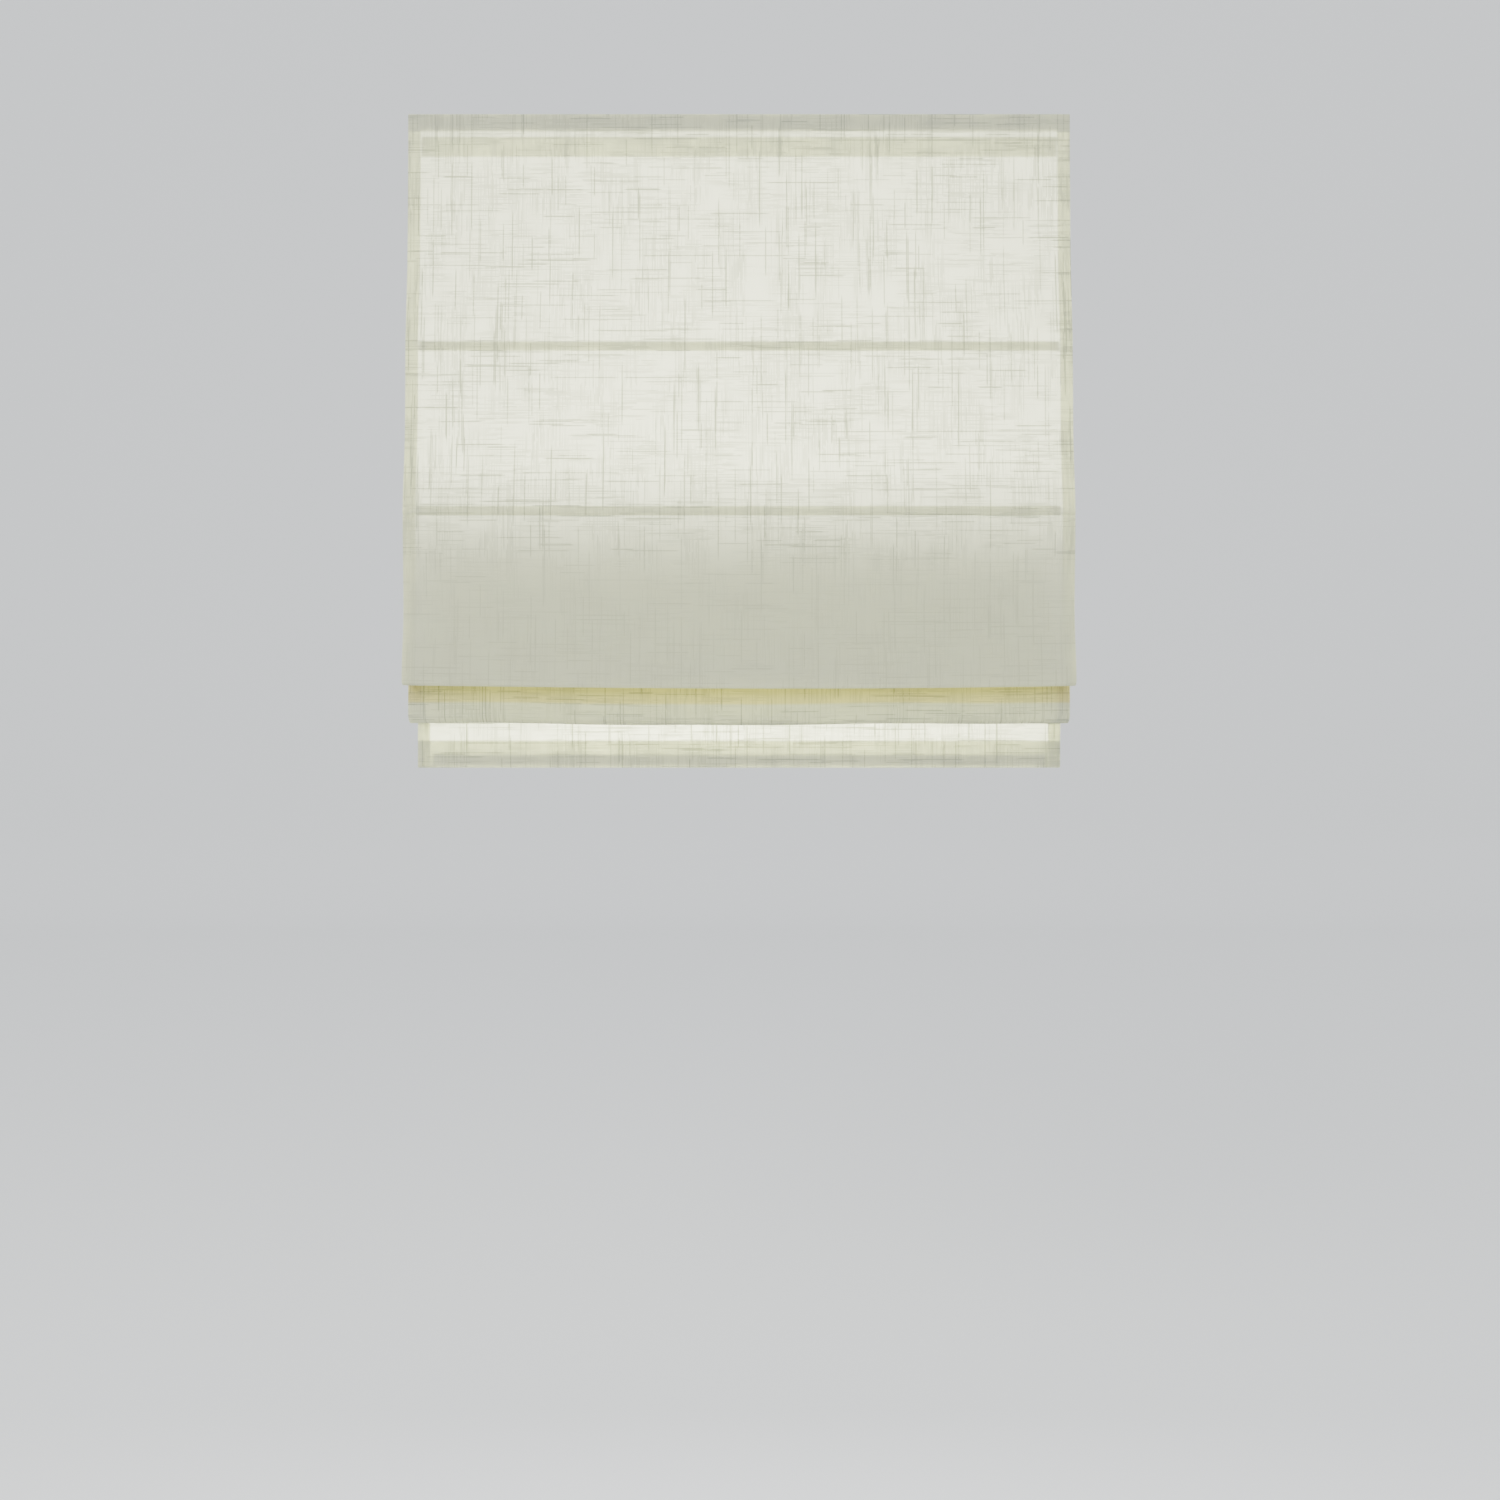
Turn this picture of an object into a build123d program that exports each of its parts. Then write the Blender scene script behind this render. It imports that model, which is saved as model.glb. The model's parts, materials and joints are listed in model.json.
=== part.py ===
"""Cordless roman blind, part raised: headrail with a spring motor, two lift cords, and a
battened cloth whose lower part hangs in two folds.

Frame: millimetres, X across the blind, -Y towards the room, +Z up. The origin is the centre of
the four bracket screw holes, on the face that meets the window head, so the blind hangs below it.
"""

from build123d import *
from math import asin, atan2, cos, hypot, pi, sin
import os

os.makedirs("parts", exist_ok=True)

# ---- Cloth sizes ----
blind_width = 787.0
sheet = 1.0
top_hem = 54.0
seam_one_drop = 287.0
batten_pitch = 196.0
fold_one_drop = 683.5
ring_one_drop = 493.0
ring_two_gap = 8.0
fold_two_drop = 727.0
bottom_drop = 781.0
bottom_hem = 32.0

# ---- Depth of each cloth line, measured from the middle of the rail ----
seam_one_y = -38.0
seam_two_y = -46.5
fold_one_front_y = -47.0
fold_one_back_y = -37.5
ring_one_y = 9.5
fold_two_front_y = -29.5
fold_two_back_y = -7.5
ring_two_y = 15.0
cloth_gap = 0.3

# ---- Battens, rings and bar ----
batten_r = 1.5
batten_play = 0.1
batten_inset = 17.0
pocket_height = 11.0
pocket_sink = 0.3
ring_wire = 0.75
ring_r = 3.9
stop_r = 4.2
stop_length = 12.0
bar_thickness = 3.0
bar_height = 13.6
bar_inset = 19.5
bar_cap_length = 7.0
bar_cap_wall = 0.5

# ---- Headrail ----
cap_thickness = 2.0
rail_side_gap = 1.0
rail_depth = 50.0
rail_top = -3.6
rail_bottom = -23.0
rail_wall = 1.0
rail_lip = 7.0
cap_plug = 8.0
cap_play = 0.2
tape_thickness = 1.0
tape_height = 15.0

# ---- Mounting brackets ----
bracket_inset = 60.5
bracket_thickness = 1.5
screw_hole_r = 2.2
screw_spacing = 24.0
bracket_depth = 42.0
bracket_outer = 9.0
bracket_inner = 27.0
pivot_x = 15.0
pivot_y = 3.0
rivet_r = 2.0
rivet_head_r = 3.5
running_play = 0.05
lever_gap = 0.3
lever_thickness = 1.5
lever_r = 8.0
lever_width = 8.0
lever_leg = 10.0
lever_reach = 18.5
lever_handle = 30.0

# ---- Lift cords and their guides ----
cord_r = 0.6
cord_inset = 143.5
cord_level = -11.6
pulley_groove_r = 4.0
pulley_flange_r = 5.5
pulley_width = 4.0
pulley_bore_r = 1.05
guide_width = 6.4
guide_play = 0.3
guide_bore_r = 1.5
guide_collar_r = 3.5
guide_collar_drop = 1.5

# ---- Spring motor ----
motor_y = -4.0
gear_module = 1.0
gear_teeth = 30
gear_thickness = 2.8
drum_gap = 32.0
case_wall = 1.2
case_play = 0.8
lid_thickness = 1.2
motor_floor = rail_bottom + rail_wall
motor_lid_top = rail_top - rail_wall - 0.4
drum_float = 0.4
barrel_r = 9.0
winding_r = 11.4
spool_flange_r = 12.8
storage_hub_r = 7.5
storage_flange_r = 14.5
storage_coil_r = 12.0
output_hub_r = 9.0
output_coil_r = 11.3
spring_width = 8.0
spring_strip = 0.6
flange_thickness = 1.4
axle_r = 1.5
post_r = 2.5
post_x = 28.0
screw_r = 1.1
screw_head_r = 2.0
boss_r = 2.6

# ---- Sizes worked out from those above ----
rail_length = blind_width - 2 * (cap_thickness + rail_side_gap)
rail_height = rail_top - rail_bottom
rail_middle = (rail_top + rail_bottom) / 2
rail_front = -rail_depth / 2
lip_edge = rail_depth / 2 - rail_lip
lip_underside = rail_top - rail_wall
half = sheet / 2
cloth_back_y = rail_front - 2 * tape_thickness
cloth_y = cloth_back_y - 1.5 * sheet
seam_two_drop = seam_one_drop + batten_pitch
ring_two_drop = ring_one_drop + ring_two_gap
batten_length = blind_width - 2 * batten_inset
cord_x = blind_width / 2 - cord_inset
cord_y = ring_two_y + half + ring_r + ring_wire
bracket_x = rail_length / 2 - bracket_inset
pitch_r = gear_module * gear_teeth / 2
tip_r = pitch_r + 0.8 * gear_module
root_r = pitch_r - 1.1 * gear_module
spool_x = pitch_r
output_x = -3 * pitch_r
storage_x = output_x - drum_gap
drum_bottom = motor_floor + case_wall + drum_float
drum_top = motor_lid_top - lid_thickness - drum_float
sides = {"left": -1, "right": 1}


def save(part, name):
    part.label = name
    export_step(part, f"parts/{name}.step")


def batten_pocket(face_y, middle_z, towards):
    """A flat sleeve for a batten, sunk a little into one face of the cloth, in the YZ plane."""
    depth = 2 * (batten_r + batten_play) + sheet
    root_y = face_y - towards * pocket_sink
    with Locations((root_y + towards * depth / 2, middle_z)):
        Rectangle(depth, pocket_height)
    with Locations((root_y + towards * (batten_r + batten_play), middle_z)):
        Circle(batten_r + batten_play, mode=Mode.SUBTRACT)


def ribbon(points, bends):
    """The cloth's section along a line of points in the YZ plane, one sheet thick."""
    with BuildLine(mode=Mode.PRIVATE) as middle:
        FilletPolyline(*points, radius=bends)
    trace(middle.line, line_width=sheet)


# ---- Headrail channel, open at the top, with two lips turned in ----
with BuildPart() as headrail_channel:
    with BuildSketch(Plane.YZ):
        with Locations((0, rail_middle)):
            RectangleRounded(rail_depth, rail_height, 1.6)
            RectangleRounded(rail_depth - 2 * rail_wall, rail_height - 2 * rail_wall, 0.6,
                             mode=Mode.SUBTRACT)
        with Locations((0, rail_top)):
            Rectangle(2 * lip_edge, 3 * rail_wall, mode=Mode.SUBTRACT)
    extrude(amount=rail_length / 2, both=True)
    with BuildSketch(Plane.XY.offset(rail_bottom)):
        with Locations((-cord_x, cord_y), (cord_x, cord_y)):
            Circle(guide_collar_r)
    extrude(amount=rail_wall, mode=Mode.SUBTRACT)
save(headrail_channel.part, "headrail_channel")

# ---- End caps: a plate over the rail's end and a hollow plug inside it ----
for side, sign in sides.items():
    with BuildPart() as end_cap:
        with BuildSketch(Plane.YZ.offset(sign * rail_length / 2)):
            with Locations((0, rail_middle)):
                RectangleRounded(rail_depth, rail_height, 1.6)
        extrude(amount=sign * cap_thickness)
        fillet(end_cap.faces().sort_by(Axis.X)[-1 if sign > 0 else 0].edges(), 0.6)
        plug_depth = rail_depth - 2 * (rail_wall + cap_play)
        plug_height = rail_height - 2 * (rail_wall + cap_play)
        with BuildSketch(Plane.YZ.offset(sign * rail_length / 2)):
            with Locations((0, rail_middle)):
                RectangleRounded(plug_depth, plug_height, 1.0)
                RectangleRounded(plug_depth - 3, plug_height - 3, 0.5, mode=Mode.SUBTRACT)
        extrude(amount=-sign * cap_plug)
    save(end_cap.part, f"end_cap_{side}")

# ---- Brackets: a plate under the window head with a hook for the rail's front lip ----
for side, sign in sides.items():
    bracket_at = sign * bracket_x
    plate_middle = bracket_at - sign * (bracket_inner - bracket_outer) / 2
    hook_middle = bracket_at - sign * pivot_x
    pivot_at = bracket_at - sign * pivot_x
    hook_back = -(lip_edge - 2.3)
    with BuildPart() as bracket_plate:
        with BuildSketch(Plane.XY.offset(-bracket_thickness)):
            with Locations((plate_middle, 0)):
                RectangleRounded(bracket_outer + bracket_inner, bracket_depth, 3)
            with Locations((bracket_at, -screw_spacing / 2), (bracket_at, screw_spacing / 2)):
                Circle(screw_hole_r, mode=Mode.SUBTRACT)
            with Locations((pivot_at, pivot_y)):
                Circle(rivet_r, mode=Mode.SUBTRACT)
        extrude(amount=bracket_thickness)
        with BuildSketch(Plane.YZ.offset(hook_middle)):
            with BuildLine():
                Polyline((hook_back, -bracket_thickness),
                         (hook_back, lip_underside - bracket_thickness),
                         (rail_front + rail_wall + 0.6, lip_underside - bracket_thickness),
                         (rail_front + rail_wall + 0.6, lip_underside),
                         (hook_back - bracket_thickness, lip_underside),
                         (hook_back - bracket_thickness, -bracket_thickness), close=True)
            make_face()
        extrude(amount=9, both=True)
    save(bracket_plate.part, f"bracket_plate_{side}")

    lever_top = -bracket_thickness - lever_gap
    lever_bottom = lever_top - lever_thickness
    tongue_top = lip_underside - lever_gap
    with BuildPart() as lever:
        with BuildSketch(Plane.XY.offset(lever_bottom)):
            with Locations((pivot_at, pivot_y)):
                Circle(lever_r)
            with Locations((pivot_at, pivot_y + lever_handle / 2)):
                Rectangle(lever_width, lever_handle)
            with Locations((pivot_at, pivot_y + lever_handle)):
                Circle(lever_width / 2)
            with Locations((pivot_at, pivot_y)):
                Circle(rivet_r + running_play, mode=Mode.SUBTRACT)
        extrude(amount=lever_thickness)
        with BuildSketch(Plane.YZ.offset(pivot_at)):
            with BuildLine():
                Polyline((pivot_y + lever_leg, lever_bottom),
                         (pivot_y + lever_leg, tongue_top - lever_thickness),
                         (pivot_y + lever_reach, tongue_top - lever_thickness),
                         (pivot_y + lever_reach, tongue_top),
                         (pivot_y + lever_leg + lever_thickness, tongue_top),
                         (pivot_y + lever_leg + lever_thickness, lever_bottom), close=True)
            make_face()
        extrude(amount=lever_width / 2, both=True)
    save(lever.part, f"bracket_lever_{side}")

with BuildPart() as lever_rivets:
    for sign in sides.values():
        rivet_x = sign * (bracket_x - pivot_x)
        rivet_low = lever_bottom - lever_gap
        with BuildSketch(Plane.XY.offset(rivet_low)):
            with Locations((rivet_x, pivot_y)):
                Circle(rivet_r)
        extrude(amount=-rivet_low)
        with BuildSketch(Plane.XY.offset(rivet_low)):
            with Locations((rivet_x, pivot_y)):
                Circle(rivet_head_r)
        extrude(amount=-0.8)
save(lever_rivets.part, "lever_rivets")

# ---- Hook tape on the rail's face and loop tape on the back of the cloth ----
for name, back_y in (("hook_tape", rail_front), ("loop_tape", rail_front - tape_thickness)):
    with BuildPart() as tape:
        with Locations((0, back_y - tape_thickness / 2, rail_middle)):
            Box(rail_length, tape_thickness, tape_height)
    save(tape.part, name)

# ---- Spring motor case: a tray with posts for the cords, and its lid ----
case_left = storage_x - storage_flange_r - case_play - case_wall
case_right = spool_x + tip_r + case_play + case_wall
case_front = motor_y - tip_r - case_play - case_wall
case_back = motor_y + tip_r + case_play + case_wall
case_middle = ((case_left + case_right) / 2, (case_front + case_back) / 2)
case_size = (case_right - case_left, case_back - case_front)
lid_bottom = motor_lid_top - lid_thickness
axles = [(x, motor_y) for x in (storage_x, output_x, -spool_x, spool_x)]
boss_inset = case_wall + boss_r - 0.6
bosses = [
    (x, y)
    for x in (case_left + boss_inset, case_right - boss_inset)
    for y in (case_front + boss_inset, case_back - boss_inset)
]
post_y = cord_y - post_r - cord_r - 0.1

with BuildPart() as motor_case:
    with BuildSketch(Plane.XY.offset(motor_floor)):
        with Locations(case_middle):
            RectangleRounded(*case_size, 2)
    extrude(amount=lid_bottom - motor_floor)
    with BuildSketch(Plane.XY.offset(motor_floor + case_wall)):
        with Locations(case_middle):
            RectangleRounded(case_size[0] - 2 * case_wall, case_size[1] - 2 * case_wall, 1)
    extrude(amount=lid_bottom - motor_floor, mode=Mode.SUBTRACT)
    with BuildSketch(Plane.XY.offset(motor_floor)):
        with Locations(*bosses):
            Circle(boss_r)
    extrude(amount=lid_bottom - motor_floor)
    with BuildSketch(Plane.XY.offset(motor_floor + 3)):
        with Locations(*bosses):
            Circle(screw_r)
    extrude(amount=lid_bottom - motor_floor, mode=Mode.SUBTRACT)
    with BuildSketch(Plane.XY.offset(motor_floor)):
        with Locations(*axles):
            Circle(axle_r)
    extrude(amount=case_wall, mode=Mode.SUBTRACT)
    for sign in sides.values():
        lug_depth = post_y + post_r - case_back + case_wall
        with BuildSketch(Plane.XY.offset(motor_floor)):
            with Locations((sign * post_x, case_back - case_wall + lug_depth / 2)):
                Rectangle(2 * post_r, lug_depth)
        extrude(amount=case_wall)
        with BuildSketch(Plane.XY.offset(motor_floor)):
            with Locations((sign * post_x, post_y)):
                Circle(post_r)
        extrude(amount=cord_level + 3 - motor_floor)
        with Locations((sign * (post_x - 8), case_back, cord_level)):
            Box(14, 4 * case_wall, 6, mode=Mode.SUBTRACT)
save(motor_case.part, "motor_case")

with BuildPart() as motor_lid:
    with BuildSketch(Plane.XY.offset(lid_bottom)):
        with Locations(case_middle):
            RectangleRounded(*case_size, 2)
        with Locations(*axles):
            Circle(axle_r, mode=Mode.SUBTRACT)
    extrude(amount=lid_thickness)
    for x, y in bosses:
        with Locations((x, y, lid_bottom + lid_thickness / 2)):
            Cone(screw_r, screw_head_r, lid_thickness, mode=Mode.SUBTRACT)
save(motor_lid.part, "motor_lid")

with BuildPart() as motor_screws:
    screw_length = lid_bottom - motor_floor - 4
    for x, y in bosses:
        with Locations((x, y, lid_bottom + lid_thickness / 2)):
            Cone(screw_r, screw_head_r, lid_thickness)
        with Locations((x, y, lid_bottom - screw_length / 2)):
            Cylinder(screw_r, screw_length)
        with Locations((x, y, motor_lid_top)):
            Box(2.6, 0.5, 0.8, mode=Mode.SUBTRACT)
            Box(0.5, 2.6, 0.8, mode=Mode.SUBTRACT)
save(motor_screws.part, "motor_screws")

with BuildPart() as axle_pins:
    with BuildSketch(Plane.XY.offset(motor_floor)):
        with Locations(*axles):
            Circle(axle_r)
    extrude(amount=motor_lid_top - motor_floor)
save(axle_pins.part, "axle_pins")


def gear(x, first_tooth_deg):
    """A spur gear's outline about one axle, its first tooth at the given angle."""
    with Locations((x, motor_y)):
        Circle(root_r)
    for tooth in range(gear_teeth):
        with Locations(Location((x, motor_y), first_tooth_deg + tooth * 360 / gear_teeth)):
            Polygon((root_r - 0.4, -1.1 * gear_module), (root_r - 0.4, 1.1 * gear_module),
                    (pitch_r, 0.68 * gear_module), (tip_r, 0.36 * gear_module),
                    (tip_r, -0.36 * gear_module), (pitch_r, -0.68 * gear_module), align=None)


# ---- Output drum and the two cord spools: gears meshed in a row ----
half_tooth = 180 / gear_teeth
wheels = {
    "output_drum": (output_x, 0, output_hub_r, output_hub_r),
    "cord_spool_left": (-spool_x, half_tooth, barrel_r, spool_flange_r),
    "cord_spool_right": (spool_x, 0, barrel_r, spool_flange_r),
}
gear_top = drum_bottom + gear_thickness
for name, (x, tooth_angle, hub_r, top_r) in wheels.items():
    with BuildPart() as wheel:
        with BuildSketch(Plane.XY.offset(drum_bottom)):
            gear(x, tooth_angle)
        extrude(amount=gear_thickness)
        with BuildSketch(Plane.XY.offset(gear_top)):
            with Locations((x, motor_y)):
                Circle(hub_r)
        extrude(amount=drum_top - gear_top)
        with BuildSketch(Plane.XY.offset(drum_top - flange_thickness)):
            with Locations((x, motor_y)):
                Circle(top_r)
        extrude(amount=flange_thickness)
        with BuildSketch(Plane.XY.offset(drum_bottom)):
            with Locations((x, motor_y)):
                Circle(axle_r + running_play)
        extrude(amount=drum_top - drum_bottom, mode=Mode.SUBTRACT)
    save(wheel.part, name)

with BuildPart() as storage_drum:
    for radius, low, high in ((storage_flange_r, drum_bottom, drum_bottom + flange_thickness),
                              (storage_hub_r, drum_bottom, drum_top)):
        with BuildSketch(Plane.XY.offset(low)):
            with Locations((storage_x, motor_y)):
                Circle(radius)
        extrude(amount=high - low)
    with BuildSketch(Plane.XY.offset(drum_bottom)):
        with Locations((storage_x, motor_y)):
            Circle(axle_r + running_play)
    extrude(amount=drum_top - drum_bottom, mode=Mode.SUBTRACT)
save(storage_drum.part, "storage_drum")

# ---- Flat spring: a coil on each drum and the stretch that crosses between them ----
spring_low = gear_top + cloth_gap
strip_angle = asin((storage_coil_r + output_coil_r - spring_strip) / drum_gap)
strip_nx = sin(strip_angle)
strip_ny = cos(strip_angle)
strip_r1 = storage_coil_r - spring_strip / 2
strip_r2 = output_coil_r - spring_strip / 2
with BuildPart() as drive_spring:
    with BuildSketch(Plane.XY.offset(spring_low)):
        for x, inner, outer in ((storage_x, storage_hub_r, storage_coil_r),
                                (output_x, output_hub_r, output_coil_r)):
            with Locations((x, motor_y)):
                Circle(outer)
                Circle(inner + lever_gap, mode=Mode.SUBTRACT)
        with BuildLine(mode=Mode.PRIVATE) as strip:
            Line((storage_x + strip_r1 * strip_nx, motor_y + strip_r1 * strip_ny),
                 (output_x - strip_r2 * strip_nx, motor_y - strip_r2 * strip_ny))
        trace(strip.line, line_width=spring_strip)
    extrude(amount=spring_width)
save(drive_spring.part, "drive_spring")

# ---- Lift cords: wound on the spools, round the posts, over the pulleys, down the back ----
winding_low = gear_top + 0.2
winding_height = drum_top - flange_thickness - 0.2 - winding_low
pulley_drop = pulley_groove_r + cord_r
pulley_z = cord_level - pulley_drop
stop_top = -(ring_two_drop + 2.5 + ring_wire) - 0.1
leave_r = winding_r + cord_r + cloth_gap
turn_r = post_r + cord_r + 0.1
for side, sign in sides.items():
    with BuildPart() as cord_winding:
        with BuildSketch(Plane.XY.offset(winding_low)):
            with Locations((sign * spool_x, motor_y)):
                Circle(winding_r)
                Circle(barrel_r, mode=Mode.SUBTRACT)
        extrude(amount=winding_height)
    save(cord_winding.part, f"cord_winding_{side}")

    # The run leaves the winding on a line that also touches the post's far side.
    across = post_x - spool_x
    along = post_y - motor_y
    lean = atan2(along, across) - asin((leave_r - turn_r) / hypot(across, along))
    start = (spool_x - leave_r * sin(lean), motor_y + leave_r * cos(lean))
    corner_x = start[0] + (cord_y - start[1]) * cos(lean) / sin(lean)
    with BuildPart() as lift_cord:
        with BuildLine() as route:
            FilletPolyline((sign * start[0], start[1], cord_level),
                           (sign * corner_x, cord_y, cord_level),
                           (sign * cord_x, cord_y, cord_level),
                           (sign * cord_x, cord_y, stop_top - stop_length + 1),
                           radius=[turn_r, pulley_drop])
        with BuildSketch(Plane(origin=route.line @ 0, z_dir=route.line % 0)):
            Circle(cord_r)
        sweep()
    save(lift_cord.part, f"lift_cord_{side}")
    run = route.wire().length
    print(side, "cord run", round(run, 1), "volume ratio",
          round(lift_cord.part.volume / (run * pi * cord_r**2), 4))

    # ---- Cord guide: two cheeks round the pulley, and a collar through the rail's floor ----
    pulley_x = sign * (cord_x - pulley_drop)
    guide_middle = sign * (cord_x - 5)
    slot_width = pulley_width + 2 * guide_play
    guide_top = cord_level + 3
    slot_floor = rail_bottom + 2 * rail_wall
    with BuildPart() as cord_guide:
        with BuildSketch(Plane.XY.offset(motor_floor)):
            with Locations((guide_middle, cord_y)):
                RectangleRounded(22, guide_width, 1)
        extrude(amount=guide_top - motor_floor)
        with BuildSketch(Plane.XY.offset(slot_floor)):
            with Locations((guide_middle + sign * 0.5, cord_y)):
                Rectangle(16, slot_width)
        extrude(amount=guide_top - slot_floor, mode=Mode.SUBTRACT)
        with Locations((pulley_x - sign * 1.5, cord_y, slot_floor - rail_wall / 2)):
            Box(9, slot_width, 2 * rail_wall, mode=Mode.SUBTRACT)
        with Locations((guide_middle - sign * 10, cord_y, guide_top - 2)):
            Box(5, slot_width / 2, 6, mode=Mode.SUBTRACT)
        with BuildSketch(Plane.XY.offset(rail_bottom - guide_collar_drop)):
            with Locations((sign * cord_x, cord_y)):
                Circle(guide_collar_r)
        extrude(amount=motor_floor + rail_wall - rail_bottom + guide_collar_drop)
        with BuildSketch(Plane.XY.offset(rail_bottom - guide_collar_drop)):
            with Locations((sign * cord_x, cord_y)):
                Circle(guide_bore_r)
        extrude(amount=4 * rail_wall + guide_collar_drop, mode=Mode.SUBTRACT)
        with Locations(Location((pulley_x, cord_y, pulley_z), (90, 0, 0))):
            Cylinder(pulley_bore_r - running_play, guide_width + 1, mode=Mode.SUBTRACT)
            Cylinder(pulley_flange_r + guide_play, slot_width, mode=Mode.SUBTRACT)
    save(cord_guide.part, f"cord_guide_{side}")

    with BuildPart() as guide_pulley:
        with BuildSketch(Plane.XZ.offset(-cord_y)):
            with BuildLine():
                Polyline((pulley_x + pulley_bore_r, -pulley_width / 2 + pulley_z),
                         (pulley_x + pulley_flange_r, -pulley_width / 2 + pulley_z),
                         (pulley_x + pulley_groove_r, -0.5 + pulley_z),
                         (pulley_x + pulley_groove_r, 0.5 + pulley_z),
                         (pulley_x + pulley_flange_r, pulley_width / 2 + pulley_z),
                         (pulley_x + pulley_bore_r, pulley_width / 2 + pulley_z), close=True)
            make_face()
        revolve(axis=Axis((pulley_x, cord_y, pulley_z), (0, 0, 1)))
    turned = guide_pulley.part.rotate(Axis((pulley_x, cord_y, pulley_z), (1, 0, 0)), 90)
    save(turned, f"guide_pulley_{side}")

with BuildPart() as pulley_pins:
    for sign in sides.values():
        with Locations(Location((sign * (cord_x - pulley_drop), cord_y, pulley_z), (90, 0, 0))):
            Cylinder(pulley_bore_r - running_play, guide_width)
save(pulley_pins.part, "pulley_pins")

# ---- Battens: round rods across the cloth, one at each seam and each fold ----
fold_one_r = (fold_one_back_y - fold_one_front_y) / 2
fold_one_turn = -(fold_one_drop - half - fold_one_r)
fold_two_r = (fold_two_back_y - fold_two_front_y) / 2
fold_two_turn = -(fold_two_drop - half - fold_two_r)
fold_two_middle = fold_two_front_y + fold_two_r
ring_fold_r = 2.5
ring_one_turn = -(ring_one_drop + half + ring_fold_r)
ring_two_turn = -(ring_two_drop + half + ring_fold_r)
pocket_one_z = -seam_one_drop + pocket_height / 2
pocket_two_z = -seam_two_drop + pocket_height / 2
sleeve = batten_r + batten_play
pocket_rod = half + sleeve - pocket_sink
pocket_fold_z = fold_one_turn + 2 + pocket_height / 2
battens = {
    "batten_1": (seam_one_y + pocket_rod, pocket_one_z),
    "batten_2": (seam_two_y + pocket_rod, pocket_two_z),
    "batten_3": (fold_one_back_y - pocket_rod, pocket_fold_z),
    "batten_4": (ring_one_y - ring_fold_r, ring_one_turn),
    "batten_5": (fold_two_middle, -(fold_two_drop - sheet - sleeve)),
    "batten_6": (ring_two_y - ring_fold_r, ring_two_turn),
}
for name, (y, z) in battens.items():
    with BuildPart() as batten:
        with BuildSketch(Plane.YZ):
            with Locations((y, z)):
                Circle(batten_r)
        extrude(amount=batten_length / 2, both=True)
    save(batten.part, name)

# ---- Cloth, in the lengths that hang from the rail, from each fold and from the rings ----
fold_leg = 20.0
fold_one_top = fold_one_turn + fold_leg - fold_one_r
fold_two_top = fold_two_turn + fold_leg - fold_two_r
cloth_top = rail_top + 1.1

with BuildPart() as cloth_front:
    with BuildSketch(Plane.YZ):
        ribbon([(cloth_y, cloth_top), (cloth_y, -top_hem), (seam_one_y, -seam_one_drop),
                (seam_two_y, -seam_two_drop)], [120, 400])
        with Locations((cloth_y + sheet, (cloth_top - top_hem) / 2)):
            Rectangle(sheet, top_hem + cloth_top)
        batten_pocket(seam_one_y + half, pocket_one_z, 1)
        batten_pocket(seam_two_y + half, pocket_two_z, 1)
    extrude(amount=blind_width / 2, both=True)
save(cloth_front.part, "cloth_front")

with BuildPart() as cloth_drop:
    with BuildSketch(Plane.YZ):
        ribbon([(seam_two_y, -seam_two_drop - cloth_gap), (fold_one_front_y, fold_one_turn + 60),
                (fold_one_front_y, -(fold_one_drop - half)),
                (fold_one_front_y + fold_one_r - cloth_gap, -(fold_one_drop - half))],
               [400, fold_one_r - cloth_gap])
    extrude(amount=blind_width / 2, both=True)
save(cloth_drop.part, "cloth_drop")

with BuildPart() as cloth_fold_one:
    with BuildSketch(Plane.YZ):
        ribbon([(fold_one_back_y - fold_one_r, -(fold_one_drop - half)),
                (fold_one_back_y, -(fold_one_drop - half)),
                (fold_one_back_y, fold_one_top)], [fold_one_r - 0.01])
        batten_pocket(fold_one_back_y - half, pocket_fold_z, -1)
    extrude(amount=blind_width / 2, both=True)
save(cloth_fold_one.part, "cloth_fold_one")

with BuildPart() as cloth_rise_one:
    with BuildSketch(Plane.YZ):
        ring_front_y = ring_one_y - 2 * ring_fold_r
        ribbon([(fold_one_back_y, fold_one_top + cloth_gap), (fold_one_back_y + 2, fold_one_top + 20),
                (ring_front_y, ring_one_turn - 12), (ring_front_y, -(ring_one_drop + half)),
                (ring_one_y - ring_fold_r - cloth_gap, -(ring_one_drop + half))],
               [60, 30, ring_fold_r - cloth_gap - 0.01])
    extrude(amount=blind_width / 2, both=True)
save(cloth_rise_one.part, "cloth_rise_one")

with BuildPart() as cloth_fold_two:
    with BuildSketch(Plane.YZ):
        ribbon([(ring_one_y - ring_fold_r, -(ring_one_drop + half)),
                (ring_one_y, -(ring_one_drop + half)), (ring_one_y, ring_one_turn - 4),
                (fold_two_front_y, fold_two_turn + 30),
                (fold_two_front_y, -(fold_two_drop - half)),
                (fold_two_back_y, -(fold_two_drop - half)),
                (fold_two_back_y, fold_two_top)],
               [ring_fold_r - 0.01, 20, 100, fold_two_r - 0.01, fold_two_r - 0.01])
    extrude(amount=blind_width / 2, both=True)
save(cloth_fold_two.part, "cloth_fold_two")

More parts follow.
